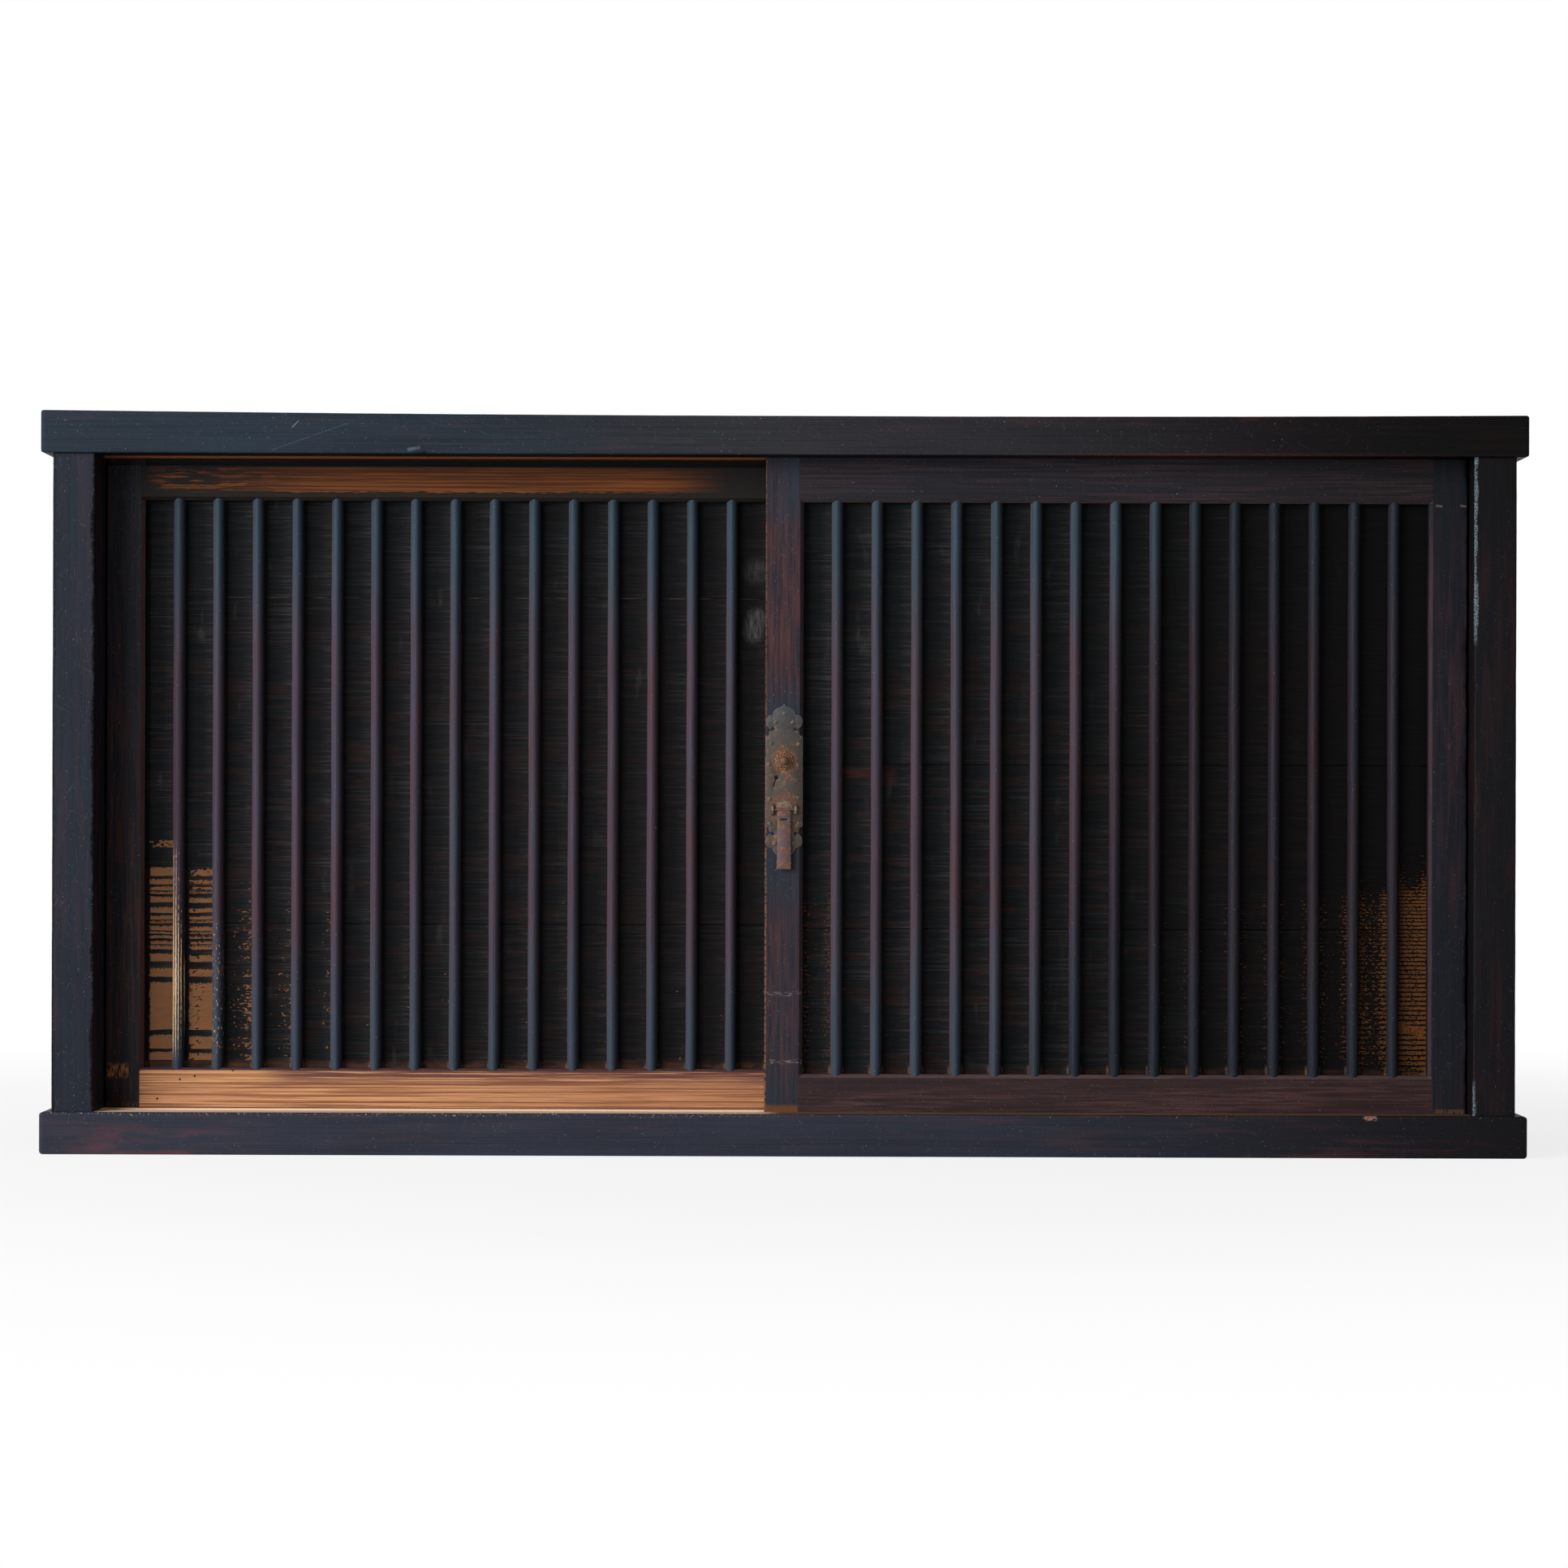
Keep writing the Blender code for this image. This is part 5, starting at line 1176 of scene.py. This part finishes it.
def uprightBattens(colour):
    # The battens outside the back stand proud of its boards, with their grain upright
    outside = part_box("back_panel")[1].y
    proud = fade("Y", outside - 0.0095, outside - 0.0105)
    return coat(colour, cedarColour("Z"), proud)


def bareInside(colour):
    # The side boards are stained outside only
    across = reckon("ABSOLUTE", spot("X"))
    inner = step(across, sideMiddle + 0.0005, sideMiddle - 0.0005)
    behind = fade("Y", rearFace + 0.03, rearFace + 0.02)
    return coat(colour, cedarColour("Z"), inner, behind)


cedar = cedarFinish("bare_cedar", "X")
backCedar = cedarFinish("bare_cedar_back", "X", uprightBattens)
sideBoards = stainedWood("stained_side_boards", "Z", {"scratch": 0.1}, bareInside)

# Wrought iron sheet, blackened, then rusted and rubbed. The eye sees a dull grey-brown with
# orange rust round the knob and the hinge, a bluish crest and pale rubbed edges.
rustedIron = {
    "sheet": "#2B2522",
    "grit": "#40372F",
    "rust": "#573A28",
    "bright": "#7C4C2B",
    "cool": "#2D3337",
    "edge": "#70685E",
    "rustCover": (0.5, 0.68),
    "relief": 0.00012,
}


def ironFinish(name, changes=None, blush=()):
    # A blush is a place on the front with the distances where its rust is full and gone
    look = {**rustedIron, **(changes or {})}
    material, shader = newMaterial(name)
    grit = streaks("Y", 0.0009, 0.0009, (0.35, 0.65), 4.0)
    fine = streaks("Y", 0.00045, 0.00045, (0.4, 0.6), 3.0, 2.0)
    blooms = streaks("Y", 0.006, 0.006, look["rustCover"], 7.0, 3.0)
    spots = streaks("Y", 0.0022, 0.0022, (0.52, 0.64), 6.0, 13.0)
    pits = streaks("Y", 0.0009, 0.0009, (0.62, 0.72), 3.0, 7.0)
    for place, full, none in blush:
        near = dot(place, full, none)
        blooms = reckon("MAXIMUM", blooms, near)
    colour = coat(look["sheet"], look["grit"], grit)
    colour = coat(colour, look["rust"], blooms, scaled(fine, 0.5, 0.95))
    colour = coat(colour, look["bright"], spots, scaled(blooms, 0, 0.8))
    crest = fade("Z", 0.452, 0.415)
    colour = coat(colour, look["cool"], scaled(crest, 0, 0.75))
    wornOrLit = add("Attribute", attribute_name="edge")
    rubbed = streaks("Y", 0.003, 0.003, (0.35, 0.55), 4.0, 17.0)
    colour = coat(colour, look["edge"], wornOrLit.outputs["Fac"], rubbed)
    colour = coat(colour, "#26201F", scaled(pits, 0, 0.8))
    woodSurface(shader, colour, grit, look["relief"], (0.5, 0.75), 0.35)
    shader.inputs["Metallic"].default_value = 0.25
    return material


# Lock plate: a sheet with a cut crest at both ends, domed nail heads and two ears
plate = {
    "thickness": 0.0012,
    "chamfer": 0.0005,
    "sink": 0.0006,
    "nailRadius": 0.0022,
    "nailHeight": 0.0012,
    "seatRadius": 0.0094,
    "seatHeight": 0.0008,
    "earSpacing": 0.0212,
    "earThickness": 0.0024,
    "earHeight": 0.0118,
    "earProjection": 0.0066,
    "pinShare": -0.362,
    "pinDistance": 0.0042,
    "knobShare": 0.262,
    "keyhole": (-0.42, 0.049),
    "keyholeRadius": 0.0023,
    "keyholeLength": 0.0098,
    "keyholeLean": 18,
    "slotHalf": 0.0006,
    "slotOpening": 0.3,
    "keyholeChamfer": 0.0002,
    "smooth": 40,
}
# The crest's outline from the shoulder to the tip: across from the middle and down from the
# tip, in millimetres. The eye is a round notch that opens at the edge through a narrow neck.
crestLine = (
    (18.9, 35.0), (18.3, 33.9), (16.4, 33.4), (15.4, 32.0), (15.2, 30.2), (14.2, 28.6),
    (13.1, 28.3), (11.5, 28.8), (10.0, 28.0), (9.5, 26.6), (10.1, 25.2), (11.5, 24.6),
    (12.8, 25.1), (13.6, 26.3), (14.7, 25.9), (16.9, 24.2), (18.3, 21.6), (18.7, 18.6),
    (18.1, 15.6), (16.2, 13.2), (13.9, 12.2), (11.9, 11.9), (11.4, 11.0), (11.0, 9.2),
    (9.6, 7.0), (7.2, 5.3), (4.4, 4.2), (2.4, 3.4), (1.2, 2.0), (0.0, 0.0),
)
# The nails' places as shares of the plate's half width and half height
nailPlaces = (
    (0.00, 0.865), (-0.46, 0.760), (0.48, 0.755), (-0.70, 0.492), (0.77, 0.475),
    (-0.82, 0.217), (0.74, 0.210), (-0.78, -0.222), (0.74, -0.208), (-0.78, -0.538),
    (0.76, -0.540), (-0.49, -0.797), (0.49, -0.797),
)
plateLow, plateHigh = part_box("lock_plate")
plateBack = plateHigh.y
plateFace = plateBack - plate["thickness"]
plateMiddle = (plateLow.z + plateHigh.z) / 2
plateHalf = ((plateHigh.x - plateLow.x) / 2, (plateHigh.z - plateLow.z) / 2)
pinPlace = (plateFace - plate["pinDistance"], plateMiddle + plate["pinShare"] * plateHalf[1])


def onPlate(across, up):
    return across * plateHalf[0], plateMiddle + up * plateHalf[1]


def eased(points, steps):
    # A smooth line through points: each stretch is the cubic whose slope at a point is half
    # the way from the point before to the point after
    ends = 2 * points[[0, -1]] - points[[1, -2]]
    p = np.concatenate([ends[:1], points, ends[1:]])
    t = (np.arange(steps) / steps)[None, :, None]
    a, b, c, d = (p[k : len(p) - 3 + k, None] for k in range(4))
    line = 2 * b + (c - a) * t + (2 * a - 5 * b + 4 * c - d) * t**2
    line = 0.5 * (line + (3 * b - a - 3 * c + d) * t**3)
    return np.concatenate([line.reshape(-1, 2), points[-1:]])


def plateOutline():
    crest = eased(np.array(crestLine) / 1000, 5)
    right = pair(crest[:, 0], plateHalf[1] - crest[:, 1])
    upper = np.concatenate([right, right[-2::-1] * (-1, 1)])
    return np.concatenate([upper, -upper]) + (0, plateMiddle)


def keyholeOutline():
    # A ring and a slot that leans outwards going down, as one outline
    x, z = onPlate(*plate["keyhole"])
    lean = math.radians(plate["keyholeLean"])
    radius = plate["keyholeRadius"]
    opening = plate["slotOpening"]
    turn = np.linspace(opening, 2 * math.pi - opening, 22) - math.pi / 2 - lean
    ring = pair(x + radius * np.cos(turn), z + radius * np.sin(turn))
    foot = (x, z) + plate["keyholeLength"] * np.array((-math.sin(lean), -math.cos(lean)))
    aside = plate["slotHalf"] * np.array((math.cos(lean), -math.sin(lean)))
    return np.concatenate([ring, [foot - aside, foot + aside]])


def sheetWall(outline, back, face, chamfer, hole=False):
    # The rim of a sheet seen along y: each ring is the outline moved along its own normals
    following, last = np.roll(outline, -1, axis=0), np.roll(outline, 1, axis=0)
    onward = following - last
    normal = pair(-onward[:, 1], onward[:, 0])
    normal = normal / np.linalg.norm(normal, axis=1, keepdims=True)
    area = np.sum(outline[:, 0] * following[:, 1]) - np.sum(outline[:, 1] * following[:, 0])
    inward = normal * np.sign(area) * (-1 if hole else 1)
    sizes = ((0, back), (0, face + chamfer * 0.7), (chamfer, face))
    return np.stack([np.insert(outline + inward * by, 1, y, axis=1) for by, y in sizes])


def rimMarks(rims):
    # Wear on the middle ring of each rim, its front arris
    marks = [np.zeros(rim.shape[:2]) for rim in rims]
    for mark in marks:
        mark[1] = 1
    return marks


def turned(profile, centre, face, sides, lobes=0):
    # A profile of (radius, height, lobe depth, turn) round the line through the centre along
    # y, where the last two may be left out. A lobe depth d draws the radius in to 1 - d
    # between petals: r(1 - d + d|cos(nt/2)|).
    rows = np.array([(*row, 0, 0)[:4] for row in profile])
    turn = np.linspace(0, 2 * math.pi, sides, endpoint=False)[None]
    petal = np.abs(np.cos(lobes / 2 * (turn + rows[:, 3:4])))
    radius = rows[:, :1] * (1 - rows[:, 2:3] * (1 - petal))
    x = centre[0] + radius * np.cos(turn)
    z = centre[1] + radius * np.sin(turn)
    y = np.broadcast_to(face - rows[:, 1:2], x.shape)
    return np.stack([x, y, z], axis=-1)


def nailHead(centre):
    radius, height = plate["nailRadius"], plate["nailHeight"]
    bends = np.linspace(0, 1, 6)[:-1] * math.pi / 2
    dome = [(radius * math.cos(bend), height * math.sin(bend)) for bend in bends]
    return turned([(radius, -plate["sink"]), *dome, (0.0002, height)], centre, plateFace, 14)


def ear(side):
    # Half an ellipse standing on the plate, with eased faces
    turn = np.linspace(0, math.pi, 20)
    inner = side * plate["earSpacing"] / 2
    places = inner + side * plate["earThickness"] * np.array([0, 0.12, 0.88, 1])
    shrink = np.array([0.95, 1, 1, 0.95])[:, None]
    reach = plate["earProjection"] + plate["sink"]
    depth = plateFace + plate["sink"] - reach * np.sin(turn) * shrink
    height = pinPlace[1] - plate["earHeight"] / 2 * np.cos(turn) * shrink
    return alongAxis(places, pair(depth, height), "X")


def lockPlate():
    rims = [sheetWall(plateOutline(), plateBack, plateFace, plate["chamfer"])]
    rims.append(sheetWall(keyholeOutline(), plateBack, plateFace, plate["keyholeChamfer"], True))
    nails = [nailHead(onPlate(*nail)) for nail in nailPlaces]
    radius, height = plate["seatRadius"], plate["seatHeight"]
    seat = [(radius, -plate["sink"]), (radius, height * 0.7), (radius - 0.0005, height)]
    shells = [*nails, ear(-1), ear(1), turned(seat, (0, pinPlace[1]), plateFace, 48)]
    wornOrLit = [np.zeros(shell.shape[:2]) for shell in shells]
    for mark in wornOrLit[: len(nails)]:
        mark[2:5] = 0.6
    for mark in wornOrLit[-3:-1]:
        mark[:, 4:-4] = 0.8
    wornOrLit[-1][1:] = 0.5
    return makePiece("cut_plate", shells, wornOrLit + rimMarks(rims), 0, plate["smooth"], [rims])


# Pull knob: two rings of petals round a dome with a ball on it
knob = {"petals": 13, "radius": 0.0097, "sides": 182}


def petalledKnob():
    half = math.pi / knob["petals"]
    rows = (
        (0.93, 0.0000, 0.10), (1.00, 0.0006, 0.12), (0.98, 0.0014, 0.14), (0.88, 0.0021, 0.16),
        (0.80, 0.0019, 0.10), (0.76, 0.0016, 0.04), (0.75, 0.0021, 0.10, half),
        (0.74, 0.0030, 0.14, half), (0.66, 0.0038, 0.17, half), (0.57, 0.0037, 0.10, half),
        (0.53, 0.0035, 0.03, half), (0.51, 0.0044), (0.45, 0.0053), (0.34, 0.0060),
        (0.29, 0.0066), (0.30, 0.0073), (0.37, 0.0085), (0.41, 0.0099), (0.38, 0.0113),
        (0.30, 0.0125), (0.18, 0.0132), (0.05, 0.0135),
    )
    profile = [(share * knob["radius"], *rest) for share, *rest in rows]
    centre = onPlate(0, plate["knobShare"])
    shell = turned(profile, centre, plateFace - 0.0003, knob["sides"], knob["petals"])
    wornOrLit = np.zeros(shell.shape[:2])
    wornOrLit[[2, 3, 7, 8, 17, 18]] = 0.7
    return makePiece("petalled_knob", shell, wornOrLit, ease=0, smooth=50)


# More rust round the knob and the hinge; the hasp and the knob have their own tones
plateBlush = (
    (onPlate(0, plate["knobShare"]), 0.0095, 0.0165),
    (onPlate(0, plate["pinShare"]), 0.006, 0.022),
)
plateIron = ironFinish("rusted_iron_plate", {}, plateBlush)
haspLook = {"sheet": "#3C3036", "grit": "#4E3F44", "rustCover": (0.4, 0.56), "edge": "#66636A"}
haspIron = ironFinish("rusted_iron_hasp", haspLook)
knobLook = {"sheet": "#4C3529", "grit": "#6A4630", "rustCover": (0.3, 0.6), "edge": "#8A6A50"}
knobIron = ironFinish("rusted_iron_knob", knobLook)

# Hasp: a flat tongue rolled round its pin, with a slot for the staple
hasp = {
    "top": 0.0130,
    "end": 0.0146,
    "length": 0.0610,
    "thickness": 0.0016,
    "cornerRound": 0.0007,
    "chamfer": 0.00035,
    "slotChamfer": 0.0003,
    "uneven": 0.0002,
    "slot": (0.0080, 0.0024),
    "slotDrop": 0.0100,
    "roll": 0.0016,
    "pinRadius": 0.0009,
    "pinHead": (0.0011, 0.0007),
    "pinPlay": 0.0005,
}


def roundBar(places, radii, sides):
    # A bar along x round the pin's middle line, with a radius at each place
    turn = np.linspace(0, 2 * math.pi, sides, endpoint=False)
    radii = np.array(radii)[:, None]
    outline = pair(pinPlace[0] + radii * np.cos(turn), pinPlace[1] + radii * np.sin(turn))
    return alongAxis(np.array(places), outline, "X")


def haspTongue():
    y, z = pinPlace
    half = hasp["thickness"] / 2
    top, end = hasp["top"] / 2, hasp["end"] / 2
    foot, r = z - hasp["length"], hasp["cornerRound"]
    heights = np.linspace(z - 0.0004, foot + r, 16)
    widths = top + (end - top) * (z - heights) / hasp["length"] + wander(heights, 12, hasp["uneven"])
    turn = np.linspace(0, math.pi / 2, 5)[1:]
    corner = pair(end - r + r * np.cos(turn), foot + r - r * np.sin(turn))
    side = np.concatenate([pair(widths, heights), corner])
    outline = np.concatenate([side, side[::-1] * (-1, 1)])
    length, height = hasp["slot"][0] / 2, hasp["slot"][1] / 2
    turn = np.linspace(-math.pi / 2, math.pi / 2, 9)
    curve = pair(length - height + height * np.cos(turn), height * np.sin(turn))
    slot = np.concatenate([curve, -curve]) + (0, z - hasp["slotDrop"])
    rims = [sheetWall(outline, y + half, y - half, hasp["chamfer"])]
    rims.append(sheetWall(slot, y + half, y - half, hasp["slotChamfer"], True))
    places = (top - 0.0001) * np.array([-1, -0.97, 0.97, 1])
    roll = roundBar(places, hasp["roll"] - np.array([0.0002, 0, 0, 0.0002]), 24)
    wornOrLit = [np.zeros(roll.shape[:2]), *rimMarks(rims)]
    return makePiece("hasp_tongue", roll, wornOrLit, 0, plate["smooth"], [rims])


def haspPin():
    reach = plate["earSpacing"] / 2 + plate["earThickness"] + hasp["pinPlay"]
    shank, (head, length) = hasp["pinRadius"], hasp["pinHead"]
    places = [-reach - length, -reach, -reach, reach, reach, reach + length]
    shell = roundBar(places, [shank, head, shank, shank, head, shank], 16)
    return makePiece("hinge_pin", shell, ease=0, smooth=plate["smooth"])


# Pieces
place(topFrontPlank(), stained["top"], "carcass", "stained_frame_wood", "top_front_plank")
place(topRearPlank(), stained["top"], "carcass", "stained_frame_wood", "top_rear_plank")
place(baseSillPiece(), stained["base"], "carcass", "stained_frame_wood", "base_front_sill")
for node, side, front, seed in (
    ("front_left_post", -1, True, 31),
    ("front_right_post", 1, True, 41),
    ("rear_left_post", -1, False, 51),
    ("rear_right_post", 1, False, 61),
):
    finish = stained["left_post" if side < 0 else "right_post"]
    place(cornerPost(node, side, front, seed), finish, "carcass", "stained_frame_wood", node)
print("carcass made")

# For each door its two stiles' finishes, its top and bottom rails' finishes, its boards and
# the bars that have a finish of their own
doorLooks = {
    "left": (
        {"left": stained["rear_stile"], "right": stained["rear_stile"]},
        {"top": topRailFinish, "bottom": bottomRailFinish},
        leftBoards,
        {1: firstBarFinish, 2: secondBarFinish},
    ),
    "right": (
        {"left": stained["meeting_stile"], "right": stained["closing_stile"]},
        {"top": stained["rails"], "bottom": stained["low_rail"]},
        rightBoards,
        {},
    ),
}
for word, (stileLooks, railLooks, boards, barLooks) in doorLooks.items():
    body = f"{word}_door"
    for side, seed in (("left", 71), ("right", 81)):
        wear = door["closingWear"] if (word, side) == ("right", "right") else door["outerWear"]
        piece = doorStile(word, side, seed, wear)
        place(piece, stileLooks[side], body, "stained_frame_wood", f"{body}_{side}_stile")
    for which, finish in railLooks.items():
        place(doorRail(word, which), finish, body, "stained_frame_wood", f"{body}_{which}_rail")
    place(doorPanel(word), boards, body, "stained_door_board", f"{body}_panel")
    for number in range(1, 16):
        bar = latticeBar(word, number, 100 * number + len(word))
        finish = barLooks.get(number, barFinish)
        place(bar, finish, body, "stained_bar_wood", f"{body}_bar_{number:02d}")
print("doors made")

place(lockPlate(), plateIron, "right_door", "rusted_iron", "lock_plate")
place(petalledKnob(), knobIron, "right_door", "rusted_iron", "pull_knob")
place(haspTongue(), haspIron, "hasp", "rusted_iron", "hasp")
place(haspPin(), haspIron, "right_door", "rusted_iron", "hasp_pin")
dress(plateIron, "lock_case")
print("lock made")
dress(cedar, "floor_board", "shelf")
dress(backCedar, "back_panel")
dress(sideBoards, "left_side_panel", "right_side_panel")
dress(stained["side_rails"], "base_left_rail", "base_right_rail")
dress(stained["rear_rail"], "base_rear_rail")

# Pale floor and soft light from the left front, white behind
studio = {
    "floorSize": 14.0,
    "floorColour": "#E9E9EA",
    "keyPlace": (-4.4, -4.6, 1.65),
    "keyTarget": (0, -0.15, 0.4),
    "keySize": 5.0,
    "keyPower": 800.0,
    "ambient": 0.22,
    "floorRoughness": 0.9,
    "floorGloss": 0.1,
    "whiteFrom": (0.6, 2.2),
    "whiteShare": (0.8, 1),
}


def seenRay():
    # 1 for rays from the camera and those that gloss or glass passes on, 0 for lighting rays
    path = add("LightPath").outputs
    seen = reckon("MAXIMUM", path["Is Camera Ray"], path["Is Glossy Ray"])
    return reckon("MAXIMUM", seen, path["Is Transmission Ray"])


def paleFloor():
    half = studio["floorSize"] / 2
    mesh = bpy.data.meshes.new("floor")
    corners = [(-half, -half, 0), (half, -half, 0), (half, half, 0), (-half, half, 0)]
    mesh.from_pydata(corners, [], [(0, 1, 2, 3)])
    floor = newObject("floor", mesh)
    material, shader = newMaterial("pale_floor")
    shader.inputs["Base Color"].default_value = toLinear(studio["floorColour"])
    shader.inputs["Roughness"].default_value = studio["floorRoughness"]
    shader.inputs["Specular IOR Level"].default_value = studio["floorGloss"]
    distance = add("VectorMath", {0: add("TexCoord").outputs["Object"]}, operation="LENGTH")
    reach, level = studio["whiteFrom"], studio["whiteShare"]
    far = mapped(distance.outputs["Value"], reach, level, "SMOOTHSTEP")
    share = reckon("MULTIPLY", seenRay(), far)
    white = add("Emission", {"Strength": 1.0})
    mixed = add("MixShader", {0: share, 1: shader.outputs[0], 2: white.outputs[0]})
    link(mixed.outputs[0], opened["tree"].nodes["Material Output"].inputs["Surface"])
    mesh.materials.append(material)


def softRoom():
    world = bpy.data.worlds.new("soft_room")
    world.use_nodes = True
    bpy.context.scene.world = world
    opened["tree"] = world.node_tree
    sky = world.node_tree.nodes["Background"]
    sky.inputs["Color"].default_value = (1, 1, 1, 1)
    link(mapped(seenRay(), (0, 1), (studio["ambient"], 1)), sky.inputs["Strength"])


def keyLight():
    light = bpy.data.lights.new("key_light", "AREA")
    light.shape = "SQUARE"
    light.size = studio["keySize"]
    light.energy = studio["keyPower"]
    lamp = newObject("key_light", light)
    lamp.location = studio["keyPlace"]
    x, y, z = np.array(studio["keyTarget"]) - np.array(lamp.location)
    lamp.rotation_euler = (math.pi / 2 + math.atan2(z, math.hypot(x, y)), 0, -math.atan2(x, y))


camera = {
    "distance": 4.1,
    "height": 0.351,
    "sensor": 36,
    "lens": 92.55,
    "shift": 0.0176,
    "roll": -0.18,
    "farthest": 50,
}


def makeCamera():
    data = bpy.data.cameras.new("camera")
    data.sensor_width = camera["sensor"]
    data.lens = camera["lens"]
    data.shift_y = camera["shift"]
    data.clip_end = camera["farthest"]
    eye = newObject("camera", data)
    eye.location = (0, chestLow[1] - camera["distance"], camera["height"])
    eye.rotation_euler = (math.pi / 2, math.radians(camera["roll"]), 0)
    bpy.context.scene.camera = eye


paleFloor()
softRoom()
keyLight()
makeCamera()
bpy.context.scene.view_settings.view_transform = "Standard"
print("studio made")
